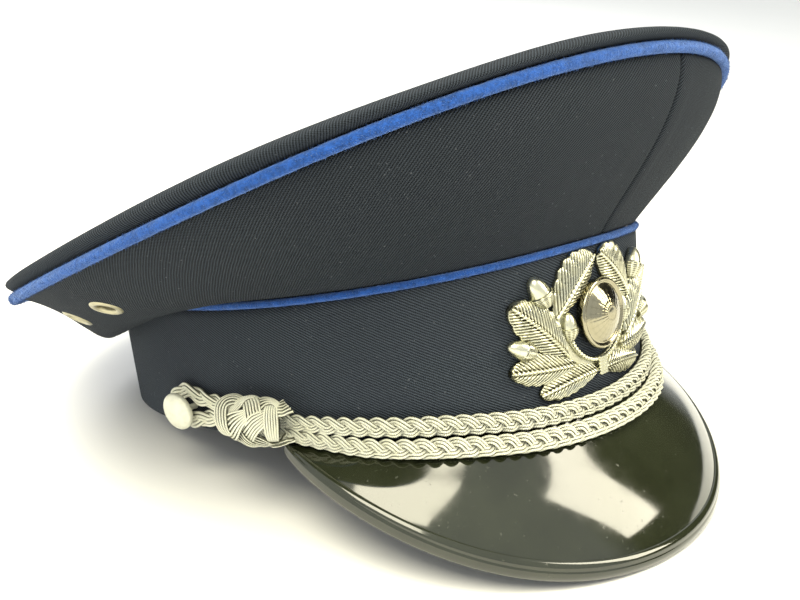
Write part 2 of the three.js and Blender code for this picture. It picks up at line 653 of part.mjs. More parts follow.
piece("band", band(), CLOTH);
piece("band_piping", seamPiping(), FELT);
for (const { hand, side } of HANDS) {
  const [from, to] = hand > 0 ? [CROWN_SEAM, CROWN_SEAM + PI] : [CROWN_SEAM - PI, CROWN_SEAM];
  const panel = crownSide(from, to);
  piece("crown_side_" + side, cutBy(panel, EYELET_PLACES.map((place) => eyeletHole(place, hand))), CLOTH);
  for (const place of EYELET_PLACES) piece("eyelet_" + place.name + "_" + side, eyelet(place, hand), BRASS);
  piece("slide_knot_" + side, knot(hand), BULLION);
  piece("button_" + side, button(hand), PEARL);
}
piece("crown_piping", rimPiping(), FELT);
piece("crown_top", crownTop(), CLOTH);
piece("peak", peak(), GLOSS);
piece("chin_cord", ringOf(cordLoops(0)), BULLION);
piece("wreath_badge", wreath(), STRUCK);
piece("cockade", cockade(), STRUCK);

// At rest the cap tips back onto the end of its peak and the back of its band. The tip is found by halving.
function lowest(tip) {
  const heights = { front: Infinity, back: Infinity };
  const v = new THREE.Vector3();
  for (const { geometry } of cap.children) {
    const p = geometry.attributes.position;
    for (let i = 0; i < p.count; i++) {
      v.fromBufferAttribute(p, i);
      const end = v.y < 0 ? "front" : "back";
      heights[end] = Math.min(heights[end], v.y * sin(tip) + v.z * cos(tip));
    }
  }
  return heights;
}

let flat = 0;
let steep = -rad(25);
for (let i = 0; i < 24; i++) {
  const middle = (flat + steep) / 2;
  const { front, back } = lowest(middle);
  if (front < back) flat = middle;
  else steep = middle;
}
cap.rotation.x = flat;
cap.updateMatrixWorld(true);
const box = new THREE.Box3().setFromObject(cap, true);
const centre = box.getCenter(new THREE.Vector3());
cap.position.set(-centre.x, -centre.y, -box.min.z);

const part = new THREE.Group();
part.add(cap);

export default part;
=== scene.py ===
"""A peaked uniform cap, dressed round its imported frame: twill walls, felt pipings, a glossy peak, a plaited
wire cord with woven slide knots, and a struck wreath badge. Shapes are worked out in millimetres in the
cap's own frame, whose z = 0 is the band's lower edge, and placed as the cap lies at rest."""

from math import cos, pi, radians, sin

import bmesh
import bpy
import numpy as np
from bpy.props import FloatProperty, FloatVectorProperty, IntProperty, PointerProperty
from mathutils import Matrix, Vector


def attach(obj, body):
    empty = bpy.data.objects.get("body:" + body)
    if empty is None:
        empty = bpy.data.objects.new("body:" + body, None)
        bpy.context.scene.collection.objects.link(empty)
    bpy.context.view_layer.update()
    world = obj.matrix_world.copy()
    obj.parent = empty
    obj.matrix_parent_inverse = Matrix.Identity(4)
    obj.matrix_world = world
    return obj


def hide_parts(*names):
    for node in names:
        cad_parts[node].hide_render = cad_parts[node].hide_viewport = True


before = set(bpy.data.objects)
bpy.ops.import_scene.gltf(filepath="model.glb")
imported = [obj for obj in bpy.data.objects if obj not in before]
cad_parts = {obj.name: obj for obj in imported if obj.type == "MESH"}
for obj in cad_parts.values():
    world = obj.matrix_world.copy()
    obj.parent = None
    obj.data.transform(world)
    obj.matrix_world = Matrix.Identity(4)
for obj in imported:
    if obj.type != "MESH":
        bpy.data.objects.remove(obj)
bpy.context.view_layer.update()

bl_info = {
    "name": "Peaked Uniform Cap",
    "version": (1, 0, 0),
    "blender": (4, 5, 0),
    "location": "View3D > Sidebar > Cap",
    "description": "Builds the cloth, pipings, peak, cord, knots and badge of a peaked uniform cap",
    "category": "Add Mesh",
}

MM = 0.001
TAU = 2 * pi
UP = np.array([0.0, 0.0, 1.0])

# How the cap lies: tipped back onto the end of its peak and the back of its band.
CAP_TIP = radians(-12.05621)
CAP_PLACE = np.array([0.0, -1.98520, 20.54917])

# Sizes shared with the solids, in millimetres
GAP = 0.3
HEAD = {"length": 202, "width": 173, "squareness": 0.018, "flare": 0.03}
SEAM_HEIGHT = {"front": 49.7, "side": 41.7, "back": 44.0}
BAND_WALL = 2.6
CLOTH_WALL = 1.6
RIM = {"length": 259.1, "width": 261.6, "fullness": 0.052, "forward": 0.8}
RIM_HEIGHT = {"front": 105.7, "side": 58.6, "back": 40.8}
ROLL = {"inward": 8.5, "bulge": 4.6, "sag": 2.5}
CROWN_SEAM = radians(-5)
SEAM_PIPING = 2.3
RIM_PIPING = 3.6
PEAK = {"corner": 68.4, "reach": 54, "slope": 59.7, "fullness": 0.52, "spread": 1.82, "side_lift": 0.95}
PEAK_SHEET = {"thickness": 2.0, "crown": 3.5, "border": 5.0, "bead": 1.1}
KNOT = {"angle": 71.8, "height": 8, "length": 28, "tall": 15.6, "deep": 11, "tip": -3,
        "end_taper": 0.62, "tip_taper": 0.1, "core_depth": 1.9}
BUTTON = {"angle": 90.3, "height": 8.1, "out": 6.9, "diameter": 12.6, "dome": 2.6, "shank": 2}
EYELET = {"outer": 11, "hole": 5.6, "thickness": 2.6}
EYELET_PLACES = {"front": (90, 0.68), "back": (105, 0.71)}
COCKADE = {"height": 27.2, "diameter": 22.6, "rim": 2.2, "dome": 5.2, "out": 1.2}

# The side panel's curve, how far it sets off from the seam and from the rim, and the height of the top's roll:
# every 30 degrees from the front
SIDE_BULGE = {
    "low_out": (8, 9, 10, 8, 4, 6, 6),
    "low_up": (13, 11, 5, -8, -32, -30, -30),
    "high_out": (1, 0, -7, -17, -20, -5, -5),
    "high_down": (18, 15, 14, 13, 9, 16, 14),
    "roll": (4.2, 3.8, 6.5, 6, 5.2, 5, 5),
}

# The chin cord's route on one side: angle, height, distance out, height of its section, lean back in degrees
CORD_ROUTE = (
    (0, -0.6, 3.1, 5.8, 12),
    (20, 0.8, 2.9, 6.0, 8),
    (40, 4.2, 2.7, 6.0, 0),
    (51, 5.5, 2.7, 5.8, 0),
    (58, 6.4, 2.8, 5.3, 0),
    (65, 7.4, 3.0, 4.4, 0),
    (72, 9.9, 3.2, 4.4, 0),
    (80, 11.1, 2.9, 5.2, 0),
    (86, 11.9, 2.6, 5.8, 0),
    (91, 13.7, 2.6, 5.6, 0),
    (95.6, 9.2, 2.6, 5.2, 0),
    (91, 3.9, 2.6, 5.6, 0),
    (86, 5.2, 2.6, 5.8, 0),
    (80, 5.9, 2.9, 5.2, 0),
    (72, 5.1, 3.2, 4.4, 0),
    (65, 3.0, 2.9, 4.2, 0),
    (58, 1.2, 3.4, 5.1, 8),
    (51, -0.5, 4.2, 5.6, 16),
    (40, -1.8, 5.4, 6.0, 22),
    (20, -5.2, 6.4, 6.2, 28),
    (0, -6.4, 7.1, 6.2, 30),
)

# Bundles of wire on a slide knot: how many wires, then stations of its first and its last wire, each with the
# place along the knot towards the peak, the turn up from its face in degrees and the lift
KNOT_BUNDLES = (
    (5, ((-1.8, 96, -0.8, -2.4, 62, -1.0), (-5.6, 98, 0.7, -4.4, 56, 0.0), (-9.2, 90, 0.9, -6.2, 47, 0.2),
         (-11.4, 64, 0.7, -6.4, 29, 0.1), (-11.2, 30, 0.4, -6.0, 12, 0.4), (-10.8, 0, 0.2, -6.2, -6, 0.2),
         (-10.4, -39, -0.8, -6.4, -30, -0.8), (-9, -66, -1.8, -5, -52, -1.8))),
    (7, ((-8.4, 20, -1.5, -9, -80, -1.5), (-6.6, 24, -0.7, -6.8, -61, -0.8), (-4.2, 29, -0.1, -2.6, -26, 0.0),
         (-1.8, 33, -0.1, -0.2, -5, -0.1), (0.4, 38, -0.4, 1.8, 10, -0.2), (1.6, 49, -1.2, 2.2, 25, -1.4))),
    (5, ((-6.8, 38, -1.4, -5, 20, -1.4), (-4.6, 53, -0.7, -2.8, 36, -0.7), (-2.4, 72, 0.0, -0.4, 48, 0.2),
         (-0.2, 84, 0.3, 0.4, 64, 0.3), (2.0, 93, 0.3, 1.6, 79, 0.1), (4.0, 104, -0.6, 2.6, 94, -0.8))),
    (6, ((-2, 98, -0.8, 1.8, 118, -0.8), (-1.0, 70, -0.4, 3.0, 90, 0), (0.8, 47, 0.1, 5.2, 68, 0.1),
         (1.6, 31, 0.2, 6.4, 49, 0.1), (1.8, 17, 0.0, 7.0, 35, -0.2), (1.0, 1, -1.1, 6.6, 20, -1.3))),
    (7, ((-1.6, -4, -1.6, -2.4, -90, -1.6), (0.4, 8, -0.8, -0.6, -69, -0.6), (2.8, 18, 0.1, 2.6, -40, 0),
         (4.2, 26, 0.1, 5.0, -22, 0.1), (6.0, 33, 0.1, 7.0, -10, 0.1), (7.4, 42, -0.4, 8.4, 0, -0.4),
         (8.4, 54, -1.3, 9.4, 11, -1.2))),
    (5, ((-7, -10, -2, -9, -60, -1.8), (-4.6, -16, -1.8, -7.2, -66, -1.2), (-2.2, -24, -1.4, -5.0, -74, -0.6),
         (-0.4, -34, -0.1, -3, -80, 0.3), (0.9, -47, 0.3, -1.2, -84, 0.7), (1.6, -60, 0.2, 0.6, -90, 0.7),
         (2.4, -74, -0.6, 2, -98, -0.2))),
    (6, ((1.0, -28, -1.4, -2.0, -74, -0.8), (3.0, -36, -0.7, 0.2, -84, 0.3), (5.0, -48, -0.3, 2.6, -92, 1.0),
         (6.4, -64, 0.1, 5.0, -98, 1.2), (7.8, -76, 0.8, 7.4, -102, 1.3), (9.4, -84, 0.9, 9.4, -106, 1.0),
         (11, -96, -0.4, 11, -116, -0.4))),
    (6, ((7.4, 104, -1.4, 10.4, 112, -1.2), (8.0, 76, -0.5, 11.2, 86, -0.4), (8.5, 48, 0.2, 11.9, 62, 0.1),
         (8.6, 26, 0.3, 12.5, 34, 0.2), (8.6, 5, 0.4, 12.7, 6, 0.3), (8.2, -19, 0.3, 12.1, -24, 0.3),
         (7.5, -45, 0.1, 10.9, -54, 0.3), (6.6, -72, -0.4, 9.4, -80, 0.2), (6, -98, -1.6, 8, -104, -1.4))),
    (5, ((2.2, 112, -1.2, 4.6, 26, -1.4), (3.8, 106, -0.2, 6.0, 40, -0.6), (5.4, 104, 0.3, 7.4, 54, 0.1),
         (7.6, 99, 0.6, 8.8, 64, 0.6), (9.6, 98, 0.6, 10.2, 72, 0.4), (11.6, 90, 0.3, 11.7, 66, 0.2),
         (12.8, 76, -1.0, 12.2, 51, -1.2))),
    (6, ((9.8, 84, -1.6, 11.4, 26, -1.6), (10.8, 90, 0.0, 12.8, 32, 0.0), (11.6, 96, 0.5, 14.8, 38, 0.3),
         (12.2, 101, 1.2, 16.8, 45, 0.7), (12.6, 106, 1.7, 18.6, 49, 1.1))),
    (2, ((7.8, -68, 1.0, 7.2, -75, 1.5), (9.4, -76, 1.0, 9.8, -74, 2.0), (11.6, -74, 1.2, 11.8, -78, 2.1),
         (14.6, -66, 1.7, 14.0, -74, 2.4), (16.6, -64, 1.5, 17.0, -62, 2.0))),
)

# Oak leaves of one half of the wreath: root and tip across and up, bow, width left and right of the rib, lift
LEAVES = (
    ((-0.5, 8.8), (27, 6.2), 1.2, 4.8, 4.9, 0.9),
    ((11.5, 13.3), (37.3, 15.6), 0, 5.4, 5, 1.7),
    ((15.5, 16), (35.9, 36), 0.6, 7.3, 6, 2.1),
    ((19.7, 28.5), (1.2, 46.3), -0.7, 5.2, 8.6, 1.4),
)
# Acorns: across, up, turn in degrees, length, width
ACORNS = ((25.2, 38.6, 28, 10.5, 7.6), (32.6, 22.3, 66, 9.6, 6.8), (14.4, 25.8, 3, 8.8, 6))
# Bead row round the cockade: half its arc in degrees, its radius, a bead's radius; the binding's foot and top
WREATH = {"bead_arc": 84, "bead_ring": 14.85, "bead": 0.68, "beads": 33, "binding": (7.4, 13.2)}


# Surfaces of the cap


def vec(x, y, z):
    return np.stack(np.broadcast_arrays(np.asarray(x, float), y, z), -1)


def unit(v):
    return v / np.linalg.norm(v, axis=-1, keepdims=True)


def circle(count):
    """Angles evenly round a full turn."""
    return np.linspace(0, TAU, count, endpoint=False)


def bell(x, width):
    return np.exp(-((x / width) ** 2))


def travelled(points):
    """How far along its line each point lies, from zero."""
    steps = np.linalg.norm(np.diff(points, axis=-2), axis=-1)
    return np.concatenate([np.zeros((*steps.shape[:-1], 1)), np.cumsum(steps, -1)], -1)


def closed(grid, endless=True):
    """A grid with its first column again at its end and one more row: the first, or the last if it isn't
    endless."""
    grid = np.concatenate([grid, grid[:, :1]], 1)
    return np.concatenate([grid, grid[:1] if endless else grid[-1:]])


def turned(v):
    """A direction of the cap's own frame in the row frame."""
    c, s = cos(CAP_TIP), sin(CAP_TIP)
    return vec(v[..., 0], v[..., 1] * c - v[..., 2] * s, v[..., 1] * s + v[..., 2] * c)


def placed(points):
    """Millimetres in the cap's own frame to metres in the row frame."""
    return (turned(points) + CAP_PLACE) * MM


def wave(t, heights, share=1):
    """A height all round, from its values at front, sides and back, levelled towards its mean by a share."""
    front, side, back = heights["front"], heights["side"], heights["back"]
    mean, bend = (front + back) / 4 + side / 2, (front + back) / 4 - side / 2
    return mean + share * (front - back) / 2 * np.cos(t) + share**2 * bend * np.cos(2 * t)


def from_table(column, t):
    values = np.array(SIDE_BULGE[column], float)
    last = len(values) - 1
    place = np.abs(np.degrees((t + pi) % TAU - pi)) / (180 / last)
    i = np.minimum(np.floor(place).astype(int), last - 1)

    def at(k):
        return values[np.where(k < 0, -k, np.where(k > last, 2 * last - k, k))]

    f = place - i
    a, b, c, d = at(i - 1), at(i), at(i + 1), at(i + 2)
    return b + 0.5 * f * (c - a + f * (2 * a - 5 * b + 4 * c - d + f * (3 * (b - c) + d - a)))


def oval(t, length, width, squareness=0.0, fullness=0.0):
    k = 1 - squareness * np.cos(4 * t)
    return vec(-width / 2 * np.sin(t) * (1 + fullness * np.cos(t)) * k, -length / 2 * np.cos(t) * k, 0)


def head_oval(t):
    return oval(t, HEAD["length"], HEAD["width"], HEAD["squareness"])


def rim_oval(t):
    return oval(t, RIM["length"], RIM["width"], 0, RIM["fullness"])


def outward(oval_at, t):
    step = oval_at(t + 1e-3) - oval_at(t - 1e-3)
    return unit(vec(-step[..., 1], step[..., 0], 0))


def head_out(t):
    return outward(head_oval, t)


def rim_out(t):
    return outward(rim_oval, t)


def on_band(t, height, out=0.0):
    t, height, out = np.broadcast_arrays(np.asarray(t, float), height, out)
    reach = out + HEAD["flare"] * np.maximum(height, 0)
    return head_oval(t) + head_out(t) * reach[..., None] + vec(0, 0, height)


def seam_point(t):
    return on_band(t, wave(t, SEAM_HEIGHT), -0.2)


def rim_point(t):
    return rim_oval(t) + vec(0, -RIM["forward"], wave(t, RIM_HEIGHT))


def side_curve(t):
    """The four control points of the side panel's curve from seam to rim."""
    low_out, low_up = from_table("low_out", t), from_table("low_up", t)
    high_out, high_down = from_table("high_out", t), from_table("high_down", t)
    out = unit(head_out(t) + rim_out(t))
    beside = np.maximum(0, -low_up) / np.hypot(low_out, low_up)
    clear = SEAM_PIPING / 2 + GAP
    low = seam_point(t) + out * (clear * beside)[..., None] + vec(0, 0, clear * np.sqrt(1 - beside**2))
    back = out * high_out[..., None] - vec(0, 0, high_down)
    length = np.linalg.norm(back, axis=-1)
    high = rim_point(t) + back / length[..., None] * (RIM_PIPING / 2 + GAP)
    high = high + out * (-0.7 * high_down / length)[..., None] - vec(0, 0, 0.7 * high_out / length)
    near_low = low + out * low_out[..., None] + vec(0, 0, low_up)
    return low, near_low, high + back, high


def on_side(t, share, depth=0.0):
    """A point on the side panel at an angle and a share of the way up, pushed in by a depth."""
    t, share = np.broadcast_arrays(np.asarray(t, float), share)
    s = share[..., None]

    def at(angle):
        a, b, c, d = side_curve(angle)
        return a * (1 - s) ** 3 + 3 * b * s * (1 - s) ** 2 + 3 * c * s**2 * (1 - s) + d * s**3

    a, b, c, d = side_curve(t)
    along = (b - a) * (1 - s) ** 2 + 2 * (c - b) * s * (1 - s) + (d - c) * s**2
    round_ = at(t + 0.01) - at(t - 0.01)
    normal = unit(np.cross(along, round_))
    return at(t) - normal * np.asarray(depth)[..., None]


# The way round the band's front at its foot, in millimetres from the middle, for each angle
ARC_ANGLES = np.linspace(-1.2, 1.2, 961)
ARC_LENGTHS = travelled(head_oval(ARC_ANGLES))
ARC_LENGTHS = ARC_LENGTHS - ARC_LENGTHS[-1] / 2


def on_badge(x, z, lift):
    """A point of the badge: x across the band's face from its centre, z up, lift out from the cloth."""
    x, z, lift = np.broadcast_arrays(np.asarray(x, float), z, lift)
    return on_band(np.interp(x, ARC_LENGTHS, ARC_ANGLES), z, GAP + lift)


def uneven(u, v, size, seed):
    """Gentle unevenness between -1 and 1, with features of about the given size."""
    rng = np.random.default_rng(seed)
    total = np.zeros(np.broadcast(u, v).shape)
    for _ in range(7):
        angle, phase, scale = rng.uniform(0, TAU), rng.uniform(0, TAU), rng.uniform(0.6, 1.7)
        total = total + np.sin((u * cos(angle) + v * sin(angle)) * TAU / size * scale + phase)
    return total / 7


# Meshes


def add_object(name, data):
    made = bpy.data.objects.new(name, data)
    bpy.context.scene.collection.objects.link(made)
    return made


class Body:
    """Gathers closed forms into one mesh with a texture map in millimetres."""

    def __init__(self):
        self.points, self.faces, self.uvs, self.count = [], [], [], 0

    def loft(self, loops, uv=None, wrap=False):
        """A form through loops of points, endless along its rows if wrap is set, else closed by caps."""
        n, k = loops.shape[:2]
        rows, cols = np.indices((n if wrap else n - 1, k))
        nxt, right = (rows + 1) % n, (cols + 1) % k
        quads = np.stack([rows * k + cols, nxt * k + cols, nxt * k + right, rows * k + right], -1)
        quads = quads.reshape(-1, 4)
        if uv is None:
            uv = np.stack(np.indices((n + 1, k + 1)), -1)
        corners = np.stack([uv[rows, cols], uv[rows + 1, cols], uv[rows + 1, cols + 1], uv[rows, cols + 1]], 2)
        corners = corners.reshape(-1, 4, 2)
        flat = loops.reshape(-1, 3)
        a, b, c, d = (flat[quads[:, i]] for i in range(4))
        volume = np.einsum("ij,ij->", a, np.cross(b, c) + np.cross(c, d))
        flip = volume < 0
        if flip:
            quads, corners = quads[:, ::-1], corners[:, ::-1]
        self.points.append(flat)
        self.faces.extend((quads + self.count).tolist())
        self.uvs.append(corners.reshape(-1, 2))
        if not wrap:
            first, last = np.arange(k), np.arange(k)[::-1] + (n - 1) * k
            for cap, row in ((first, 0), (last, n - 1)):
                cap = cap[::-1] if flip else cap
                self.faces.append((cap + self.count).tolist())
                self.uvs.append(uv[row, cap % k])
        self.count += len(flat)
        return self

    def make(self, node, form, slot, finish, merge=0.0, auto_smooth=None):
        """Makes the object, lets it stand for its solid, and gives it its finish."""
        name = node + "_" + form
        mesh = bpy.data.meshes.new(name)
        mesh.from_pydata(placed(np.concatenate(self.points)), [], self.faces)
        layer = mesh.uv_layers.new(name="cloth_mm")
        layer.data.foreach_set("uv", np.concatenate(self.uvs).astype(np.float32).ravel())
        mesh.update()
        if merge:
            work = bmesh.new()
            work.from_mesh(mesh)
            bmesh.ops.remove_doubles(work, verts=work.verts, dist=merge * MM)
            work.to_mesh(mesh)
            work.free()
        mesh.shade_smooth()
        if auto_smooth:
            mesh.set_sharp_from_angle(angle=radians(auto_smooth))
        piece = add_object(name, mesh)
        mesh.materials.append(finish)
        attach(piece, "root")
        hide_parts(node)
        return piece


def wall(outer, inner):
    """Loops of a wall between an outer and an inner grid of points."""
    return np.concatenate([outer, inner[:, ::-1]], 1)


def wall_uv(outer, inner, wrap):
    """A texture map of a wall: the way round and the way across, each in millimetres."""
    loops = closed(wall(outer, inner), wrap)
    u = travelled(loops[:, outer.shape[1] // 2])
    return np.stack(np.broadcast_arrays(u[:, None], travelled(loops)), -1)


def turned_loops(profile, sides, place, direction):
    """Loops of a turned form: (radius, height) pairs round a direction from a place."""
    d = unit(np.asarray(direction, float))
    a = unit(np.cross(d, [0.3, 0.2, 0.9]))
    b = np.cross(d, a)
    angle = circle(sides)
    ring = np.cos(angle)[:, None] * a + np.sin(angle)[:, None] * b
    r, h = np.array(profile, float).T
    return place + ring[None] * r[:, None, None] + d * h[:, None, None]


def tubes(body, paths, radius, normals, sides, wrap=True):
    """Wires along paths (wires, stations, 3), each with a texture map of its length and its turn."""
    nxt = np.roll(paths, -1, 1) if wrap else np.gradient(paths, axis=1) + paths
    prev = np.roll(paths, 1, 1) if wrap else paths - np.gradient(paths, axis=1)
    tangent = unit(nxt - prev)
    side = unit(np.cross(tangent, normals))
    up = np.cross(side, tangent)
    angle = circle(sides)[:, None]
    radius = np.broadcast_to(radius, paths.shape[:2])
    for path, right, front, length, r in zip(paths, side, up, travelled(paths), radius):
        ring = right[:, None] * np.cos(angle) + front[:, None] * np.sin(angle)
        length = np.append(length, 2 * length[-1] - length[-2])
        uv = np.stack(np.meshgrid(length, np.linspace(0, 1, sides + 1), indexing="ij"), -1)
        body.loft(path[:, None] + ring * r[:, None, None], uv, wrap)


# Finishes


class Finish:
    """A node material, built up by short calls."""

    def __init__(self, name, colour, roughness, metallic=0.0, **sockets):
        self.material = bpy.data.materials.new(name)
        self.material.use_nodes = True
        self.tree = self.material.node_tree
        self.shader = self.tree.nodes["Principled BSDF"]
        self.shader.inputs["Base Color"].default_value = (*colour, 1)
        self.shader.inputs["Roughness"].default_value = roughness
        self.shader.inputs["Metallic"].default_value = metallic
        for key, value in sockets.items():
            self.shader.inputs[key.replace("_", " ").title()].default_value = value

    def node(self, kind, *inputs, **settings):
        made = self.tree.nodes.new("ShaderNode" + kind)
        for key, value in settings.items():
            if key in made.inputs:
                self.put(made.inputs[key], value)
            else:
                setattr(made, key, value)
        for slot, value in enumerate(inputs):
            self.put(made.inputs[slot], value)
        return made.outputs[0]

    def put(self, socket, value):
        if isinstance(value, bpy.types.NodeSocket):
            self.tree.links.new(value, socket)
        else:
            socket.default_value = value

    def times(self, a, b):
        return self.node("Math", a, b, operation="MULTIPLY")

    def plus(self, a, b):
        return self.node("Math", a, b, operation="ADD")

    def sine(self, turns):
        return self.node("Math", self.times(turns, TAU), operation="SINE")

    def ramp(self, value, low, high, to_low=0.0, to_high=1.0):
        return self.node("MapRange", value, low, high, to_low, to_high)

    def mix(self, share, a, b):
        made = self.tree.nodes.new("ShaderNodeMix")
        made.data_type = "RGBA"
        self.put(made.inputs[0], share)
        self.put(made.inputs[6], a if isinstance(a, bpy.types.NodeSocket) else (*a, 1))
        self.put(made.inputs[7], b if isinstance(b, bpy.types.NodeSocket) else (*b, 1))
        return made.outputs[2]

    def map_uv(self):
        uv = self.node("UVMap", uv_map="cloth_mm")
        parts = self.tree.nodes.new("ShaderNodeSeparateXYZ")
        self.tree.links.new(uv, parts.inputs[0])
        return parts.outputs[0], parts.outputs[1]

    def noise(self, scale, detail=2.0, roughness=0.5):
        place = self.tree.nodes.new("ShaderNodeTexCoord").outputs["Object"]
        return self.node("TexNoise", Vector=place, Scale=scale, Detail=detail, Roughness=roughness)

    def colour(self, value):
        self.put(self.shader.inputs["Base Color"], value)

    def rough(self, value):
        self.put(self.shader.inputs["Roughness"], value)

    def bump(self, height, distance, strength=1.0):
        made = self.tree.nodes.new("ShaderNodeBump")
        made.inputs["Strength"].default_value = strength
        made.inputs["Distance"].default_value = distance
        self.put(made.inputs["Height"], height)
        self.put(self.shader.inputs["Normal"], made.outputs[0])


def twill(name, look, slant, shade):
    """Navy twill: ribs of the given slant, threads across each rib, painted shade in the rib hollows and
    painted light on the rib tops, lint and a soft bloom; the shade factor makes painted lighter or darker
    copies of one cloth.
    """
    # The shade factor scales the whole colour per piece: painted light on the band and top, painted shade on
    # the side panels, all of one cloth.
    colour = np.array(look.cloth) * shade
    paint = Finish(name, colour, 0.85, sheen_weight=0.05, sheen_roughness=0.5)
    paint.shader.inputs["Sheen Tint"].default_value = (0.8, 0.88, 1.0, 1)
    paint.shader.inputs["Specular IOR Level"].default_value = 0.08
    u, v = paint.map_uv()
    pitch = look.twill_pitch / MM
    thread_pitch, thread_shift = 0.72 * pitch, 2.3 / TAU
    wander = paint.times(paint.plus(paint.noise(220, 3), -0.5), 0.5)
    across = paint.plus(paint.times(u, cos(slant) / pitch), paint.times(v, sin(slant) / pitch))
    across = paint.plus(across, wander)
    along = paint.plus(paint.times(v, cos(slant)), paint.times(u, -sin(slant)))
    rib = paint.node("Math", across, operation="FLOOR")
    thread = paint.sine(paint.plus(paint.times(along, 1 / thread_pitch), paint.times(rib, thread_shift)))
    height = paint.plus(paint.sine(across), paint.times(thread, 0.45))
    fibre = paint.noise(2600, 2)
    height = paint.plus(height, paint.times(fibre, 0.8))
    # Painted shade and light: the colour follows the weave's height, nearly black in the rib hollows and
    # painted lighter on the rib tops.
    hollow_shade, ridge = colour * 0.04, colour * 3.3
    base = paint.mix(paint.ramp(height, -0.9, 1.6), hollow_shade, ridge)
    bloom = paint.ramp(paint.noise(28, 4), 0.3, 0.7)
    base = paint.mix(paint.times(bloom, 0.2), base, colour * 1.35 + 0.002)
    lint = paint.ramp(paint.noise(900, 1), 0.74, 0.8)
    paint.colour(paint.mix(paint.times(lint, 0.5), base, (0.16, 0.17, 0.19)))
    paint.bump(height, 0.00022, 0.9)
    return paint.material


def felt(look):
    """Blue felt: a matted nap, with painted shade in its hollows and painted light on its high spots."""
    colour = np.array(look.piping)
    paint = Finish("blue_felt", colour, 0.95, sheen_weight=0.6, sheen_roughness=0.5)
    paint.shader.inputs["Sheen Tint"].default_value = (0.45, 0.62, 1.0, 1)
    paint.shader.inputs["Specular IOR Level"].default_value = 0.1
    nap, mat = paint.noise(1500, 4, 0.65), paint.noise(420, 3, 0.6)
    height = paint.plus(nap, mat)
    # Painted shade and light: the colour follows the nap's height, darker in the hollows, lighter on the high
    # spots.
    paint.colour(paint.mix(paint.ramp(height, 0.7, 1.3), colour * 0.5, colour * 1.45))
    paint.bump(height, 0.0005, 0.8)
    return paint.material


def gloss(look):
    """Black gloss with an olive cast: polished, with fine scratches and a little dust."""
    colour = np.array(look.peak)
    paint = Finish("black_gloss", colour, 0.1, coat_weight=0.35, coat_roughness=0.08)
    paint.shader.inputs["IOR"].default_value = 1.56
    scratch = paint.noise(160, 6, 0.75)
    dust = paint.ramp(paint.noise(700, 2), 0.68, 0.8)
    cloud = paint.ramp(paint.noise(34, 5, 0.6), 0.35, 0.75)
    base = paint.mix(cloud, colour, colour * 1.6 + 0.004)
    paint.colour(paint.mix(paint.times(dust, 0.3), base, (0.12, 0.12, 0.1)))
    paint.rough(paint.plus(paint.ramp(scratch, 0.4, 0.75, 0.07, 0.16), paint.times(dust, 0.25)))
    paint.bump(paint.noise(60, 3), 0.0001, 0.12)
    return paint.material


def bullion(look):
    """Silver wire, spun: fine ridges round each wire with painted shade in their grooves, random tarnish, and
    painted shade on the inner half of each wire, towards the crevices between the wires.
    """
    colour = np.array(look.bullion)
    paint = Finish("silver_bullion", colour, 0.4, 0.15)
    length, turn = paint.map_uv()
    ridge = paint.sine(paint.plus(paint.times(length, MM / look.wire_ridge), paint.times(turn, 2)))
    tarnish = paint.ramp(paint.noise(240, 3), 0.45, 0.75)
    # Painted shade in the grooves between the spun ridges.
    base = paint.mix(paint.ramp(ridge, -1, 0.6), colour * 0.72, colour)
    base = paint.mix(paint.times(tarnish, 0.35), base, colour * (0.82, 0.8, 0.62))
    # Painted shade: the inner half of each wire, turned into the cord or knot, is painted nearly black, as if
    # in the crevices between wires.
    facing, crevice_shade = paint.ramp(paint.sine(turn), 0.2, 0.78), colour * (0.09, 0.09, 0.06)
    paint.colour(paint.mix(facing, crevice_shade, base))
    paint.bump(ridge, 0.00022, 0.8)
    return paint.material


def struck(name, colour, roughness):
    """Struck metal: full colour on the high parts, painted shade, dark and yellowish, in the low ones, with
    random grime.
    """
    colour = np.array(colour)
    paint = Finish(name, colour, roughness, 1.0)
    grime = paint.ramp(paint.noise(260, 4, 0.6), 0.4, 0.72)
    relief, _ = paint.map_uv()
    # Painted shade: the low parts of the relief are painted nearly black.
    base = paint.mix(paint.ramp(relief, 0.15, 0.85), colour * (0.07, 0.065, 0.04), colour)
    paint.colour(paint.mix(paint.times(grime, 0.3), base, colour * (0.8, 0.76, 0.6)))
    paint.rough(paint.plus(paint.times(grime, 0.16), roughness))
    paint.bump(paint.noise(1400, 2), 0.00006, 0.3)
    return paint.material


def matt_metal(name, colour, roughness, metallic):
    """Plain matt metal with faint handling marks."""
    colour = np.array(colour)
    paint = Finish(name, colour, roughness, metallic)
    wear = paint.ramp(paint.noise(330, 4, 0.6), 0.4, 0.75)
    paint.colour(paint.mix(wear, colour, colour * 0.82))
    paint.rough(paint.plus(paint.times(wear, 0.15), roughness))
    paint.bump(paint.noise(1100, 2), 0.00005, 0.25)
    return paint.material


# Pieces


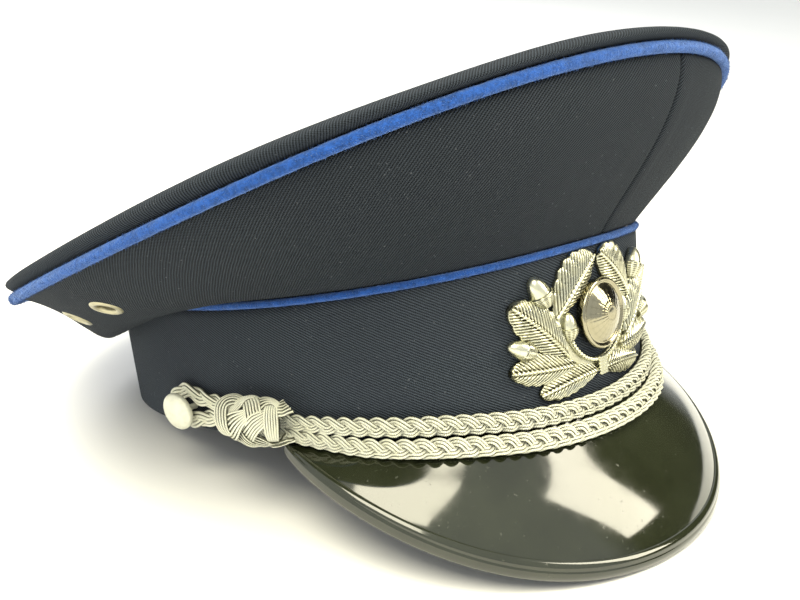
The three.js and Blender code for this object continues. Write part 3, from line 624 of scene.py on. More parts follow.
def make_band(sizes, look):
    t = circle(240)[:, None]
    top = wave(t, SEAM_HEIGHT) - SEAM_PIPING / 2 - GAP
    foot_round = 0.8
    turn, share = np.linspace(0, pi / 2, 5), np.linspace(0, 1, 16)[1:]
    foot, foot_out = foot_round * (1 - np.cos(turn)), -foot_round * (1 - np.sin(turn))
    height = np.concatenate([foot + 0 * t, foot_round + (top - foot_round) * share], 1)
    out = np.concatenate([foot_out, 0 * share]) + 0 * t
    fade = np.minimum(1, height / 12) * np.minimum(1, (top - height) / 4)
    swell = 0.22 * uneven(t * 90, height, 46, 3) * fade
    seam = -0.45 * bell((t - pi) * 100, 0.7)
    outer = on_band(t, height, out + swell + seam * (height > 0.5))
    inner = on_band(t, height, -BAND_WALL)
    # Painted light: the band's cloth is painted 1.5 times lighter, as if more light falls on it.
    finish = twill("navy_twill_band_painted_lighter", look, sizes.band_slant, 1.5)
    Body().loft(wall(outer, inner), wall_uv(outer, inner, True), True).make("band", "cloth", "cloth", finish)


def piping_fuzz(body, centre, out_at, radius, count, seed):
    """Short fibres that stand off a felt piping, each a slim three-sided spike."""
    rng = np.random.default_rng(seed)
    t, a = rng.uniform(0, TAU, count), rng.uniform(-0.8 * pi, 0.8 * pi, count)
    normal = out_at(t) * np.cos(a)[:, None] + UP * np.sin(a)[:, None]
    along = unit(np.cross(normal, UP + 0.01))
    across = np.cross(normal, along)
    foot = centre(t) + normal * (radius * 0.94)
    lean = normal + along * rng.normal(0, 0.9, count)[:, None] + across * rng.normal(0, 0.6, count)[:, None]
    tip = foot + unit(lean) * (radius * rng.uniform(0.12, 0.42, count) + 0.12)[:, None]
    width = 0.09
    feet = [foot + along * width] + [foot - along * width / 2 + across * width * side for side in (1, -1)]
    points = np.stack([*feet, tip], 1).reshape(-1, 3)
    base = np.arange(count)[:, None, None] * 4 + body.count
    faces = base + np.array([[0, 2, 1], [0, 1, 3], [1, 2, 3], [2, 0, 3]])
    body.points.append(points)
    body.faces.extend(faces.reshape(-1, 3).tolist())
    body.uvs.append(np.zeros((count * 12, 2)))
    body.count += len(points)


def make_pipings(sizes, look):
    finish = felt(look)
    t, a = circle(720)[:, None], circle(16)
    plans = (
        ("band_piping", seam_point, head_out, SEAM_PIPING / 2, 11),
        ("crown_piping", rim_point, rim_out, RIM_PIPING / 2, 12),
    )
    for node, centre, out_at, thick, seed in plans:
        lumps = 0.05 * uneven(t * 130, a * 2, 3.1, seed) + 0.04 * uneven(t * 130, a * 3, 11, seed + 5)
        normal = out_at(t) * np.cos(a)[None, :, None] + UP * np.sin(a)[None, :, None]
        body = Body().loft(centre(t) + normal * (thick * (1 + lumps))[..., None], None, True)
        piping_fuzz(body, centre, out_at, thick, sizes.fuzz, seed)
        body.make(node, "felt", "piping", finish)


def make_crown_sides(sizes, look):
    # Painted shade: the side panels' cloth is painted darker, as if shaded where their slope faces down.
    finish = twill("navy_twill_side_painted_darker", look, sizes.side_slant, 0.9)
    half_gap = 0.12 / HEAD["length"]
    spread, share = np.linspace(0, 1, 190)[:, None], np.linspace(0, 1, 36)[None]
    spread = spread - 0.045 * np.sin(TAU * spread)
    for hand, side, start in ((1, "right", CROWN_SEAM), (-1, "left", CROWN_SEAM - pi)):
        t = start + half_gap + (pi - 2 * half_gap) * spread
        off = (pi / 2 - np.abs(t - start - pi / 2)) * 108
        groove = 0.75 * bell(off, 0.9)
        welt = -0.32 * bell(off - 4.6, 1.7) * (hand < 0)
        drape = 0.35 * uneven(t * 110, share * 60, 44, 21 + hand) + 0.12 * uneven(t * 110, share * 60, 13, 31)
        fade = np.sin(pi * share) ** 0.5
        depth = (drape * np.minimum(1, off / 8)) * fade + groove + welt * fade
        outer, inner = on_side(t, share, depth), on_side(t, share, CLOTH_WALL + 0 * depth)
        body = Body().loft(wall(outer, inner), wall_uv(outer, inner, False))
        piece = body.make("crown_side_" + side, "cloth", "cloth", finish)
        for angle, along in EYELET_PLACES.values():
            cut_hole(piece, *eyelet_frame(angle, along, hand))


def eyelet_frame(angle, along, hand):
    t = np.radians(angle) * hand
    middle = on_side(t, along, CLOTH_WALL / 2)
    return middle, unit(on_side(t, along) - on_side(t, along, CLOTH_WALL))


def cut_hole(piece, middle, normal):
    """Cuts a round hole for an eyelet through a cloth wall."""
    r, reach, count = EYELET["outer"] / 2 - 0.9, 4, 32
    loops = turned_loops([[r, -reach], [r, reach]], count, middle, normal)
    mesh = bpy.data.meshes.new("hole")
    first = np.arange(count)
    after = (first + 1) % count
    sides = np.stack([first, after, count + after, count + first], 1).tolist()
    ends = [first[::-1].tolist(), (count + first).tolist()]
    mesh.from_pydata(placed(loops.reshape(-1, 3)), [], sides + ends)
    work = bmesh.new()
    work.from_mesh(mesh)
    bmesh.ops.recalc_face_normals(work, faces=work.faces)
    work.to_mesh(mesh)
    work.free()
    tool = add_object("hole", mesh)
    cut = piece.modifiers.new("hole", "BOOLEAN")
    cut.operation, cut.object, cut.solver = "DIFFERENCE", tool, "EXACT"
    bpy.context.view_layer.update()
    result = bpy.data.meshes.new_from_object(piece.evaluated_get(bpy.context.evaluated_depsgraph_get()))
    piece.modifiers.clear()
    old, piece.data = piece.data, result
    result.name = old.name
    bpy.data.meshes.remove(old)
    bpy.data.objects.remove(tool)
    bpy.data.meshes.remove(mesh)


def make_crown_top(sizes, look):
    t, steps, edge, rise = circle(300)[:, None], 12, RIM_PIPING / 2 + GAP, 5.2
    up, out = from_table("roll", t), rim_out(t)

    def profile(depth):
        a = np.linspace(0, pi / 2, steps)[None]
        inward = 0.7 + ROLL["inward"] - (ROLL["inward"] - depth) * np.cos(a) - ROLL["bulge"] * np.sin(2 * a)
        roll = rim_point(t) - out * inward[..., None] + vec(0, 0, edge + (up - depth) * np.sin(a))
        share = np.linspace(1, 0, 22)[None, 1:]
        flat = roll[:, -1:] * share[..., None] - vec(0, RIM["forward"] * (1 - share), 0)
        ripple = 0.5 * uneven(flat[..., 0], flat[..., 1], 80, 41) * (1 - share**6) * np.minimum(1, share * 4)
        level = wave(t, RIM_HEIGHT, share) + edge + up * share + rise * (1 - share)
        flat[..., 2] = level - depth - ROLL["sag"] * (1 - share**2) + ripple
        return np.concatenate([roll, flat], 1)

    # The weave runs straight over the top, and its roll is laid out flat again round it.
    outer, inner = profile(0.0), profile(CLOTH_WALL)
    reach = travelled(outer[:, :steps])
    laid = outer[..., :2].copy()
    laid[:, :steps] = laid[:, steps - 1:steps] + out[..., :2] * (reach[:, -1:] - reach)[..., None]
    # Painted light: the top's cloth is painted a little lighter, as if lit from above.
    finish = twill("navy_twill_top_painted_lighter", look, sizes.top_slant, 1.15)
    body = Body().loft(wall(outer, inner), closed(wall(laid, laid)), True)
    body.make("crown_top", "cloth", "cloth", finish, merge=0.01)


def make_peak(sizes, look):
    thickness, crown, bead = PEAK_SHEET["thickness"], PEAK_SHEET["crown"], PEAK_SHEET["bead"]
    u = np.sin(pi / 2 * np.linspace(-1, 1, 201)) * 0.985
    phi = radians(PEAK["corner"]) * u
    full = np.cos(pi / 2 * u) ** PEAK["fullness"]
    way = unit(vec(-np.sin(phi) * PEAK["spread"], -1, 0))
    slope = radians(PEAK["slope"])
    edge = head_oval(phi) + way * (PEAK["reach"] * full * cos(slope))[:, None]
    edge[:, 2] = -PEAK["reach"] * full * sin(slope) * (1 - PEAK["side_lift"] * (1 - full))
    root = on_band(phi, -GAP, -0.4)
    reach = np.linalg.norm(edge - root, axis=1)
    border = np.minimum(PEAK_SHEET["border"], 0.5 * reach)
    along = unit(edge - root)
    across = unit(vec(np.cos(phi), -np.sin(phi) * 0.4, 0))
    normal = unit(np.cross(across, along))
    normal = normal * np.sign(normal[:, 2:])
    share = np.concatenate([np.linspace(0, 1, 26)[:-1], 1 + np.linspace(0, 1, 22)])[None]
    plain, border = (reach - border)[:, None], border[:, None]
    d = np.where(share < 1, share * plain, plain + (share - 1) * border)
    part = d / reach[:, None]
    rise = 6.75 * crown * full[:, None] * part**2 * (1 - part)
    inside = np.clip(share - 1, 0, 1)
    ridge = bead * np.sin(pi * inside) ** 0.6 - 0.25 * bell(inside - 0.62, 0.1) * (inside > 0)
    ridge = ridge * np.minimum(1, border / 3)
    sheet = root[:, None] + along[:, None] * d[..., None]
    top = sheet + normal[:, None] * (rise + ridge)[..., None]
    below = sheet + normal[:, None] * (rise - thickness)[..., None]
    flange, under = (on_band(phi, height, -BAND_WALL)[:, None] for height in (-GAP, -GAP - thickness))
    lip = [k * top[:, -1:] + (1 - k) * below[:, -1:] + along[:, None] * out
           for k, out in ((0.75, 0.28), (0.5, 0.35), (0.25, 0.28))]
    body = Body().loft(wall(np.concatenate([flange, top, *lip], 1), np.concatenate([under, below], 1)))
    body.make("peak", "gloss_sheet", "peak_gloss", gloss(look), auto_smooth=55)


def cord_stations(step):
    """The chin cord's middle line at even steps: point, outward and upward direction, section height."""
    right = np.array(CORD_ROUTE, float)
    left = right[1:-1][::-1] * [-1, 1, 1, 1, 1]
    rows = np.concatenate([right, left])
    count = len(rows)
    knots = on_band(np.radians(rows[:, 0]), rows[:, 1], rows[:, 2])
    fine = 6000
    f = np.arange(fine) / fine * count
    i, w = np.floor(f).astype(int), (f % 1)[:, None]
    p0, p1, p2, p3 = (knots[(i + k) % count] for k in (-1, 0, 1, 2))
    pairs = ((p0, p1), (p1, p2), (p2, p3))
    d0, d1, d2 = (np.linalg.norm(b - a, axis=1, keepdims=True) ** 0.5 for a, b in pairs)
    m1 = ((p1 - p0) / d0 - (p2 - p0) / (d0 + d1) + (p2 - p1) / d1) * d1
    m2 = ((p2 - p1) / d1 - (p3 - p1) / (d1 + d2) + (p3 - p2) / d2) * d1
    point = p1 + m1 * w + (3 * (p2 - p1) - 2 * m1 - m2) * w**2 + (2 * (p1 - p2) + m1 + m2) * w**3
    length = travelled(np.vstack([point, point[:1]]))
    total = length[-1]
    n = int(round(total / step))
    at = np.arange(n) * total / n
    point = np.stack([np.interp(at, length, np.append(point[:, k], point[0, k])) for k in range(3)], 1)
    rank = np.interp(at, length, np.append(f, count))
    tall, lean = (np.interp(rank, np.arange(count + 1), np.append(rows[:, k], rows[0, k])) for k in (3, 4))
    tangent = unit(np.roll(point, -1, 0) - np.roll(point, 1, 0))
    t = np.arctan2(-point[:, 0] / HEAD["width"], -point[:, 1] / HEAD["length"])
    lean = np.radians(lean)
    face = head_out(t) * np.cos(lean)[:, None] + UP * np.sin(lean)[:, None]
    out = unit(face - tangent * np.sum(face * tangent, 1, keepdims=True))
    side = unit(np.cross(tangent, out))
    return point, out, side, tangent, tall, at, total, rank / count


def make_chin_cord(sizes, look):
    point, out, side, tangent, tall, at, total, rank = cord_stations(0.6)
    first, second = 0.25, 0.75
    sense = np.tanh((first - rank) * 260) - np.tanh((second - rank) * 260) + 1
    near_button = sum(np.exp(-(((rank - turn) / 0.07) ** 4)) for turn in (first, second))
    rate = total / len(at) / (sizes.plait_period / MM * (1 + 0.9 * near_button))
    phase = np.cumsum(rate) * round(rate.sum()) / rate.sum()
    radius = sizes.wire / MM / 2
    squeeze = tall / 6
    skew = 0.22 * sense * (1 - near_button)
    girth = radius * np.clip(squeeze, 0.9, 1.05) * (1 + 0.28 * near_button)
    paths = []
    for strand in range(3):
        theta = TAU * (phase + strand / 3)
        weave = (np.sin(theta) + 0.08 * np.sin(3 * theta)) / 0.95 - skew * (np.cos(2 * theta) + 1)
        up = (tall / 2 - 2.6 * radius * squeeze) * weave * (1 - 0.3 * near_button)
        lift = squeeze * (1.12 * squeeze * np.sin(2 * theta) * sense + 0.34 * np.cos(theta))
        lift = lift * (1 - 0.4 * near_button)
        slope = np.gradient(up, at)
        lie = 1 / np.sqrt(1 + slope**2)
        for wire in (-1, 0, 1):
            shift = wire * 1.96 * girth * lie
            middle = point + side * (up + shift)[:, None] + out * (lift - 0.3 * wire * wire * squeeze)[:, None]
            paths.append(middle - tangent * (shift * slope)[:, None])
    for shift in (-1.1, -0.35, 0.4, 1.15):
        paths.append(point + side * (shift * squeeze)[:, None] - out * (0.85 * squeeze)[:, None])
    body = Body()
    tubes(body, np.array(paths), girth, np.array([out] * len(paths)), 7)
    body.make("chin_cord", "plait", "bullion", bullion(look))


def smooth_line(points, steps):
    """A smooth line through a short table of points."""
    p = np.array(points, float)
    p = np.vstack([2 * p[0] - p[1], p, 2 * p[-1] - p[-2]])
    w = np.linspace(0, 1, steps, endpoint=False)[:, None]
    rows = [0.5 * (2 * b + (c - a) * w + (2 * a - 5 * b + 4 * c - d) * w**2 + (3 * (b - c) + d - a) * w**3)
            for a, b, c, d in zip(p, p[1:], p[2:], p[3:])]
    return np.vstack([*rows, p[-2:-1]])


def make_slide_knots(sizes, look):
    finish = bullion(look)
    radius = sizes.knot_wire / MM / 2
    for hand, side in ((1, "right"), (-1, "left")):
        t = radians(KNOT["angle"]) * hand
        middle = on_band(t, KNOT["height"], KNOT["deep"] / 2 + 0.2)
        out = head_out(np.float64(t))
        level = np.array([out[1], -out[0], 0]) * -hand
        tip = radians(KNOT["tip"])
        along = level * cos(tip) - UP * sin(tip)
        tall = np.cross(out, along) * hand

        def on_barrel(x, angle, lift):
            s = np.clip(x / (KNOT["length"] / 2), -1, 1)
            k = np.sqrt(1 - KNOT["end_taper"] * s * s) * (1 - KNOT["tip_taper"] * s)
            c, d = np.cos(angle)[:, None], np.sin(angle)[:, None]
            deep, high = ((KNOT[size] / 2 * k - radius + lift)[:, None] for size in ("deep", "tall"))
            return middle + along * x[:, None] + out * c * deep + tall * d * high, unit(out * c + tall * d)

        body = Body()
        for wires, way in KNOT_BUNDLES:
            line = smooth_line(way, 9)
            paths, normals = [], []
            for share in np.linspace(0, 1, wires):
                x, angle, lift = (line[:, :3] * (1 - share) + line[:, 3:] * share).T
                path, normal = on_barrel(x, np.radians(angle), lift)
                paths.append(path)
                normals.append(normal)
            tubes(body, np.array(paths), radius, np.array(normals), 7, wrap=False)
        angle = circle(48)
        core = [on_barrel(x + 0 * angle, angle, -KNOT["core_depth"]) for x in np.arange(-11.5, 8.6, 0.9)]
        paths, normals = np.array(core).transpose(1, 0, 2, 3)
        tubes(body, paths, radius * 1.1, normals, 6)
        body.make("slide_knot_" + side, "weave", "bullion", finish)


def make_buttons(sizes, look):
    finish = matt_metal("button_silver", look.button, 0.5, 0.35)
    for hand, side in ((1, "right"), (-1, "left")):
        t = radians(BUTTON["angle"]) * hand
        foot = on_band(t, BUTTON["height"], GAP)
        out = head_out(np.float64(t))
        r, dome = BUTTON["diameter"] / 2, BUTTON["dome"]
        middle = foot + out * BUTTON["out"]
        face = unit(out + np.array([0, -0.12, -0.12]))
        curve = [[r * cos(a), 0.5 + (dome - 0.5) * sin(a)] for a in np.linspace(0.12, pi / 2, 14)]
        back = [[0.01, -0.9], [r - 1, -0.9], [r - 0.2, -0.6], [r, -0.1], [r, 0.4]]
        profile = [*back, *curve[:-1], [0.01, dome]]
        body = Body().loft(turned_loops(profile, 64, middle, face))
        shank = BUTTON["shank"] / 2
        reach = BUTTON["out"] - 0.95
        body.loft(turned_loops([[0.01, 0], [shank, 0], [shank, reach], [0.01, reach]], 24, foot, out))
        body.make("button_" + side, "domed", "button", finish, auto_smooth=50)


def make_eyelets(sizes, look):
    finish = matt_metal("eyelet_metal", look.eyelet, 0.36, 0.9)
    r, hole, half = EYELET["outer"] / 2, EYELET["hole"] / 2, EYELET["thickness"] / 2
    wide = (r - hole) / 2
    ring = [[hole + wide + wide * cos(a), 0.25 + (half - 0.25) * sin(a)] for a in np.linspace(0, pi, 12)]
    profile = [[hole, -half], [r - 0.7, -half], [r, -half + 0.5]] + ring
    for hand, side in ((1, "right"), (-1, "left")):
        for place, (angle, along) in EYELET_PLACES.items():
            middle, normal = eyelet_frame(angle, along, hand)
            loops = turned_loops(profile, 48, middle, normal).transpose(1, 0, 2)
            body = Body().loft(loops, None, True)
            body.make("eyelet_" + place + "_" + side, "ring", "eyelet", finish, auto_smooth=50)


def relief_map(relief):
    """A map that tells a struck form's finish how high each part lies, so that it paints shade into the low
    parts.
    """
    return np.stack([relief, relief], -1)


# One relief value for a whole form, which sets how much painted shade the struck finish gives it.
def even_relief(loops, value):
    return np.full((len(loops) + 1, loops.shape[1] + 1, 2), value)


def add_leaf(body, row, hand, vein_pitch):
    """An oak leaf with a raised middle rib, fine slanting veins and a scalloped, rolled edge."""
    root, tip, bow, left, right, lift = row
    root, tip = np.array(root, float), np.array(tip, float)
    length = np.linalg.norm(tip - root)
    along = unit(tip - root)
    middle = (root + tip) / 2 + np.array([-along[1], along[0]]) * 2 * bow
    s, a = np.linspace(0.03, 0.985, 120)[:, None], np.linspace(-1, 1, 45)[None]
    k = s[..., None]
    rib = root * (1 - k) ** 2 + 2 * middle * k * (1 - k) + tip * k**2
    way = unit(2 * (middle - root) * (1 - k) + 2 * (tip - middle) * k)
    outline = np.sin(pi * s**1.3) ** 0.6
    scallop = 1 - 0.11 * (1 - np.abs(np.sin(pi * 7 * s + 0.4)) ** 0.8)
    across = a * outline * scallop * np.where(a > 0, left, right)
    off = np.abs(across)
    vein = 0.5 - 0.5 * np.cos(TAU * (s * length - 1.15 * off) / vein_pitch)
    fade = np.clip(off / 0.5, 0, 1) * np.clip((1 - np.abs(a)) * 9, 0.25, 1) * np.clip(outline * 2, 0, 1)
    edge, crest = lift * 0.4 + 0.5, lift + 1.3 * outline**0.5
    detail = 0.5 * (vein - 0.6) * fade + 0.42 * bell(off, 0.38) - 0.25 * bell(off - 0.75, 0.3)
    height = np.maximum(edge + (crest - edge) * (1 - np.abs(a) ** 2.2) + detail, 0.25)
    # How high the veins and rib stand, which the struck finish turns into painted shade in the vein grooves
    # and beside the rib; the leaf's edge walls get half, painted partly shaded.
    relief = np.clip((detail + 0.3) / 0.44, 0, 1)
    relief = np.concatenate([relief[:, :1] * 0.5, relief, relief[:, -1:] * 0.5, relief[:, :1] * 0.5], 1)
    x = hand * (rib[..., 0] - way[..., 1] * across)
    z = rib[..., 1] + way[..., 0] * across
    top, base = on_badge(x, z, height), on_badge(x[:, [0, -1]], z[:, [0, -1]], 0.0)
    body.loft(np.concatenate([base[:, :1], top, base[:, 1:]], 1), relief_map(relief))


def add_acorn(body, row, hand):
    """An acorn: a smooth nut in a cup with a hatched rim, lying on the badge."""
    x0, z0, turn, length, width = row
    c, d = cos(radians(turn)), sin(radians(turn))
    s = np.concatenate([np.linspace(-0.5, -0.06, 22), np.linspace(-0.04, 0.5, 22)])[:, None]
    a, in_cup = circle(36)[None], s < -0.05
    cup = 0.5 + 0.5 * np.sin(np.clip((s + 0.5) / 0.4, 0, 1) * pi / 2)
    nut = 0.86 * np.sqrt(np.clip(1 - ((s + 0.1) / 0.605) ** 2, 0.02, 1))
    hatch = 0.05 * np.sin(s * length * 5.2 + a * 6) * np.sin(s * length * 5.2 - a * 6) * in_cup
    radius = width / 2 * (np.where(in_cup, cup, nut) + hatch)
    across, lift = radius * np.cos(a), np.maximum(1.2 + radius * np.sin(a), 0.0)
    loops = on_badge(hand * (x0 + d * s * length + c * across), z0 + c * s * length - d * across, lift)
    # Painted shade: the cup and the grooves of its hatching get a low relief, so the struck finish paints them
    # darker.
    relief = 0.9 + 0 * lift + (hatch * 14 - 0.3) * in_cup
    body.loft(loops, relief_map(np.concatenate([relief, relief[:, :1]], 1)))


def make_badge(sizes, look):
    body = Body()
    for hand in (1, -1):
        for row in LEAVES:
            add_leaf(body, row, hand, sizes.vein_pitch / MM)
        for row in ACORNS:
            add_acorn(body, row, hand)

    def arc(reach, r, wide, tall):
        a = np.radians(np.linspace(-reach, reach, 61))[:, None]
        q = r + wide * np.concatenate([np.linspace(0, 1, 7), [1, 0]])[None]
        crown = tall * np.concatenate([0.65 + 0.35 * np.sin(np.linspace(0, pi, 7)), [0, 0]])[None]
        loops = on_badge(q * np.sin(a), COCKADE["height"] - q * np.cos(a), crown)
        # A middle relief value: the struck finish paints the arcs part-way into its painted shade.
        body.loft(loops, even_relief(loops, 0.55))

    arc(110, 14.3, 5, 0.9)
    arc(WREATH["bead_arc"], 14.2, 1.3, 1.2)
    pole = pi / 2 - 0.1
    bead = [[WREATH["bead"] * cos(b), WREATH["bead"] * sin(b)] for b in np.linspace(-pole, pole, 8)]
    ring = WREATH["bead_ring"]
    for a in np.radians(np.linspace(-WREATH["bead_arc"], WREATH["bead_arc"], WREATH["beads"])):
        centre = on_badge(ring * sin(a), COCKADE["height"] - ring * cos(a), 1.55)
        loops = turned_loops(bead, 12, centre, [0, -1, 0.1])
        body.loft(loops, even_relief(loops, 0.9))
    z, a = np.linspace(*WREATH["binding"], 26)[:, None], np.linspace(0, pi, 10)[None]
    twist = 1 + 0.06 * np.sin(z * 6)
    # Painted shade between the binding's turns: the relief falls with the twist, and the struck finish darkens
    # those parts.
    relief = np.abs(np.sin(z * 3)) * 0.6 + 0.3 + np.zeros((1, 11))
    for x in (-1.25, 0, 1.25):
        loops = on_badge(x + 0.62 * twist * np.cos(a), z, 2.1 + 0.85 * twist * np.sin(a))
        body.loft(loops, relief_map(relief))
    finish = struck("silver_badge", look.badge, 0.24)
    body.make("wreath_badge", "struck", "badge", finish, auto_smooth=60)


def make_cockade(sizes, look):
    out = head_out(np.float64(0.0))
    r, lift, rim, dome = COCKADE["diameter"] / 2, COCKADE["out"], COCKADE["rim"], COCKADE["dome"]
    foot = on_band(0.0, COCKADE["height"], GAP + HEAD["flare"] * r)
    a, bend, bead = circle(264)[None], np.linspace(-0.4, 2.7, 12), 0.75
    lower = [[r - 0.8, 0], [r, 0.5 + lift]]
    roll = np.stack([r - bead + bead * np.cos(bend), lift + rim - bead + bead * np.sin(bend)], 1)
    q = np.linspace(r - 1.9, 0.15, 44)
    face = np.stack([q, lift + rim - 0.5 + (dome - rim + 0.3) * (1 - (q / q[0]) ** 2.2)], 1)
    radius, height = np.hsplit(np.concatenate([lower, roll, face]), 2)
    inside = np.clip((r - 2.2 - radius) / 0.8, 0, 1) * np.clip((radius - 2.1) / 0.6, 0, 1)
    ray = np.abs(np.cos(a * 11)) ** 0.6 * inside * (0.7 + 0.3 * np.cos(radius * 4.2))
    z = height + 0.07 * ray + 0.09 * bell(radius - 2.5, 0.45)
    loops = foot + out * z[..., None] + vec(radius * np.cos(a), 0, radius * np.sin(a))
    # Painted shade along the rays: the struck finish darkens their low parts.
    relief = 0.9 + 0 * z + 0.25 * (ray - 0.75) * inside
    relief = np.clip(np.concatenate([relief, relief[:, :1]], 1), 0, 1)
    finish = struck("cockade_metal", look.cockade, 0.1)
    Body().loft(loops, relief_map(relief)).make("cockade", "struck", "badge", finish, auto_smooth=60)


# Stage

CAMERA_PLACE = np.array([-267.467, -284.565, 95.755])
CAMERA_AXES = np.array([
    [0.69355659, -0.7123058, -0.10770191],
    [0.20257627, 0.0493655, 0.97802142],
    [0.69133357, 0.70013105, -0.17853402],
])
CAMERA_FOCUS = 1030.66 / 800

# Lights: name, place, what it points at, size, watts, colour
AIM = (0, -0.05, 0.05)
LIGHTS = (
    ("key", (0.62, -0.86, 0.74), AIM, (0.4, 0.8), 13, (1, 0.94, 0.74)),
    ("panel", (-0.55, -0.26, 1.06), AIM, (0.62, 0.9), 21, (1, 0.94, 0.72)),
    ("backdrop", (0.3, 2.2, 1.9), (0, 3.0, 0.2), (2.5, 1.5), 90, (1, 1, 1)),
)
# The studio's one dark corner: its direction, the cosines where it sets in and is full, the light's strength
DARK_CORNER = {"towards": (0.868, -0.444, 0.222), "from_to": (0.74, 0.88), "strength": (0.98, 0.03)}


def add_camera():
    data = bpy.data.cameras.new("camera")
    camera = add_object("camera", data)
    right, up, ahead = turned(CAMERA_AXES)
    turn = Matrix((right, up, -ahead)).transposed().to_4x4()
    camera.matrix_world = Matrix.Translation(Vector(placed(CAMERA_PLACE))) @ turn
    data.sensor_fit = "HORIZONTAL"
    data.lens = data.sensor_width * CAMERA_FOCUS
    data.clip_start, data.clip_end = 0.01, 50
    bpy.context.scene.camera = camera


def add_light(name, place, aim, size, power, colour):
    data = bpy.data.lights.new(name, "AREA")
    data.shape, data.size, data.size_y = "RECTANGLE", size[0], size[1]
    data.energy, data.color = power, colour
    lamp = add_object(name, data)
    lamp.location = place
    lamp.rotation_euler = (Vector(aim) - Vector(place)).to_track_quat("-Z", "Y").to_euler()


def make_stage(sizes, look):
    half, sweep, high, count = 8.0, 5.0, 3.0, 14
    turn = np.linspace(0.1, pi / 2, count)
    y = np.concatenate([np.linspace(-half, sweep, count), sweep + high * np.sin(turn)])
    z = np.concatenate([np.zeros(count), high * (1 - np.cos(turn))])
    points = [(side * half, b, c) for b, c in zip(y, z) for side in (-1, 1)]
    mesh = bpy.data.meshes.new("floor")
    mesh.from_pydata(points, [], [(2 * i, 2 * i + 1, 2 * i + 3, 2 * i + 2) for i in range(len(y) - 1)])
    mesh.shade_smooth()
    floor = add_object("floor", mesh)
    paint = Finish("pale_floor", look.floor, 0.7)
    paint.colour(paint.mix(paint.noise(3), look.floor, np.array(look.floor) * 0.985))
    mesh.materials.append(paint.material)
    world = bpy.data.worlds.new("studio")
    bpy.context.scene.world = world
    world.use_nodes = True
    sky = world.node_tree
    background = sky.nodes["Background"]
    background.inputs["Color"].default_value = (0.98, 1.0, 0.98, 1)
    towards = sky.nodes.new("ShaderNodeVectorMath")
    towards.operation = "DOT_PRODUCT"
    towards.inputs[1].default_value = DARK_CORNER["towards"]
    dim = sky.nodes.new("ShaderNodeMapRange")
    for slot, value in enumerate((*DARK_CORNER["from_to"], *DARK_CORNER["strength"]), 1):
        dim.inputs[slot].default_value = value
    sky.links.new(sky.nodes.new("ShaderNodeTexCoord").outputs["Generated"], towards.inputs[0])
    sky.links.new(towards.outputs["Value"], dim.inputs[0])
    sky.links.new(dim.outputs[0], background.inputs["Strength"])
    for light in LIGHTS:
        add_light(*light)
    bpy.context.scene.view_settings.view_transform = "Standard"
    add_camera()


# The add-on's settings, operators and panel


def colour_property(name, default, description):
    return FloatVectorProperty(
        name=name, description=description, default=default, size=3, min=0, max=1, subtype="COLOR")


def slant_property(name, degrees, description):
    return FloatProperty(name=name, description=description, default=radians(degrees), subtype="ANGLE")


def length_property(name, default, description):
    return FloatProperty(
        name=name, description=description, default=default, min=MM / 10, precision=5, unit="LENGTH")


class CapSizes(bpy.types.PropertyGroup):
    """Fine sizes of the cloth, wire and casting."""

    band_slant: slant_property("Band ribs", 118, "Slant of the band's twill ribs")
    side_slant: slant_property("Side ribs", 42, "Slant of the side panel's twill ribs")
    top_slant: slant_property("Top ribs", -53, "Slant of the crown top's twill ribs")
    plait_period: length_property("Plait", 0.0152, "Length of one round of the plait")
    wire: length_property("Wire", 0.00096, "Thickness of a wire in the plait")
    knot_wire: length_property("Knot wire", 0.00084, "Thickness of a wire in the slide knots")
    vein_pitch: length_property("Veins", 0.00145, "Distance between the leaves' veins")
    fuzz: IntProperty(name="Fuzz", description="Number of loose fibres on each piping", default=16000, min=0)


class CapColours(bpy.types.PropertyGroup):
    """Colours and finish of the cap's materials."""

    cloth: colour_property("Cloth", (0.0122, 0.0152, 0.0196), "Twill of band and crown")
    piping: colour_property("Piping", (0.013, 0.062, 0.26), "Felt of both pipings")
    peak: colour_property("Peak", (0.013, 0.0155, 0.007), "Gloss of the peak")
    bullion: colour_property("Wire", (0.97, 0.97, 0.8), "Wire of cord and knots")
    button: colour_property("Button", (0.66, 0.66, 0.55), "Matt metal of the side buttons")
    eyelet: colour_property("Eyelet", (0.42, 0.39, 0.27), "Worn metal of the eyelets")
    badge: colour_property("Badge", (0.66, 0.655, 0.505), "Struck metal of the wreath")
    cockade: colour_property("Cockade", (0.33, 0.305, 0.215), "Struck metal of the cockade")
    floor: colour_property("Floor", (0.93, 0.93, 0.92), "Pale floor")
    twill_pitch: length_property("Twill pitch", 0.00078, "Distance between twill ribs")
    wire_ridge: length_property("Wire ridge", 0.0005, "Distance between the ridges of spun wire")


class CapOperator:
    """What the piece operators share: each calls one function with the sizes and colours."""

    bl_options = {"REGISTER", "UNDO"}

    def execute(self, context):
        self.build(context.scene.cap_sizes, context.scene.cap_colours)
        return {"FINISHED"}


class CAP_OT_band(CapOperator, bpy.types.Operator):
    """Make the cloth band"""

    bl_idname = "cap.band"
    bl_label = "Band"
    build = staticmethod(make_band)


class CAP_OT_crown_sides(CapOperator, bpy.types.Operator):
    """Make the crown's two side panels with their eyelet holes"""

    bl_idname = "cap.crown_sides"
    bl_label = "Crown Sides"
    build = staticmethod(make_crown_sides)


class CAP_OT_crown_top(CapOperator, bpy.types.Operator):
    """Make the crown's rolled top"""

    bl_idname = "cap.crown_top"
    bl_label = "Crown Top"
    build = staticmethod(make_crown_top)


class CAP_OT_pipings(CapOperator, bpy.types.Operator):
    """Make both felt pipings with their loose fibres"""

    bl_idname = "cap.pipings"
    bl_label = "Pipings"
    build = staticmethod(make_pipings)


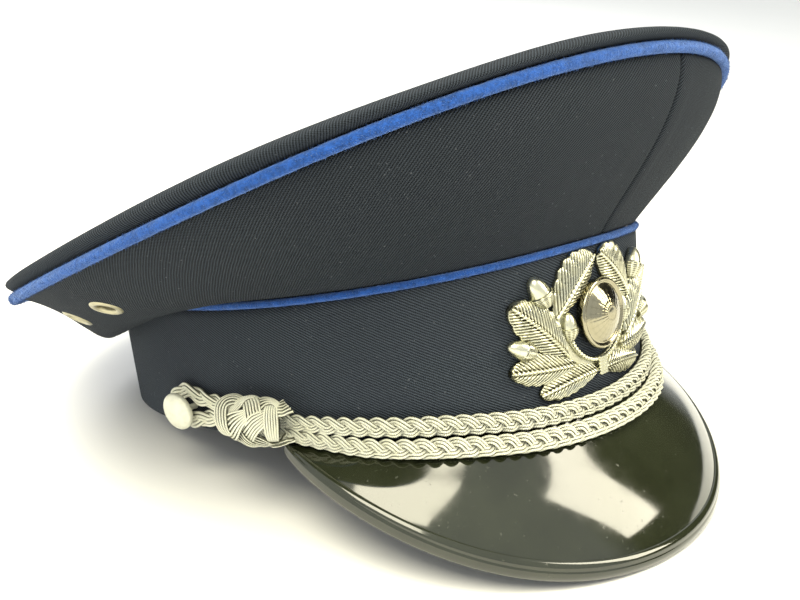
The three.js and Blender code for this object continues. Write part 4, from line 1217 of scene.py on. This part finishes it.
class CAP_OT_peak(CapOperator, bpy.types.Operator):
    """Make the glossy peak with its raised border"""

    bl_idname = "cap.peak"
    bl_label = "Peak"
    build = staticmethod(make_peak)


class CAP_OT_chin_cord(CapOperator, bpy.types.Operator):
    """Plait the chin cord"""

    bl_idname = "cap.chin_cord"
    bl_label = "Chin Cord"
    build = staticmethod(make_chin_cord)


class CAP_OT_slide_knots(CapOperator, bpy.types.Operator):
    """Weave the two slide knots"""

    bl_idname = "cap.slide_knots"
    bl_label = "Slide Knots"
    build = staticmethod(make_slide_knots)


class CAP_OT_buttons(CapOperator, bpy.types.Operator):
    """Make the side buttons"""

    bl_idname = "cap.buttons"
    bl_label = "Buttons"
    build = staticmethod(make_buttons)


class CAP_OT_eyelets(CapOperator, bpy.types.Operator):
    """Make the four eyelets"""

    bl_idname = "cap.eyelets"
    bl_label = "Eyelets"
    build = staticmethod(make_eyelets)


class CAP_OT_badge(CapOperator, bpy.types.Operator):
    """Make the oak wreath"""

    bl_idname = "cap.badge"
    bl_label = "Wreath Badge"
    build = staticmethod(make_badge)


class CAP_OT_cockade(CapOperator, bpy.types.Operator):
    """Make the cockade"""

    bl_idname = "cap.cockade"
    bl_label = "Cockade"
    build = staticmethod(make_cockade)


class CAP_OT_stage(CapOperator, bpy.types.Operator):
    """Lay the floor, light it and set the camera"""

    bl_idname = "cap.stage"
    bl_label = "Stage"
    build = staticmethod(make_stage)


OPERATORS = (
    CAP_OT_band, CAP_OT_crown_sides, CAP_OT_crown_top, CAP_OT_pipings, CAP_OT_peak, CAP_OT_chin_cord,
    CAP_OT_slide_knots, CAP_OT_buttons, CAP_OT_eyelets, CAP_OT_badge, CAP_OT_cockade, CAP_OT_stage,
)


class CAP_PT_panel(bpy.types.Panel):
    """Lists the cap's pieces and settings"""

    bl_label = "Peaked Cap"
    bl_idname = "CAP_PT_panel"
    bl_space_type = "VIEW_3D"
    bl_region_type = "UI"
    bl_category = "Cap"

    def draw(self, context):
        for settings in (context.scene.cap_sizes, context.scene.cap_colours):
            for name in settings.__annotations__:
                self.layout.prop(settings, name)
        for operator in OPERATORS:
            self.layout.operator(operator.bl_idname)


CLASSES = (CapSizes, CapColours, *OPERATORS, CAP_PT_panel)


def register():
    for cls in CLASSES:
        bpy.utils.register_class(cls)
    bpy.types.Scene.cap_sizes = PointerProperty(type=CapSizes)
    bpy.types.Scene.cap_colours = PointerProperty(type=CapColours)


def unregister():
    del bpy.types.Scene.cap_colours
    del bpy.types.Scene.cap_sizes
    for cls in reversed(CLASSES):
        bpy.utils.unregister_class(cls)


def main():
    register()
    for operator in OPERATORS:
        group, name = operator.bl_idname.split(".")
        getattr(getattr(bpy.ops, group), name)()


if __name__ == "__main__":
    main()
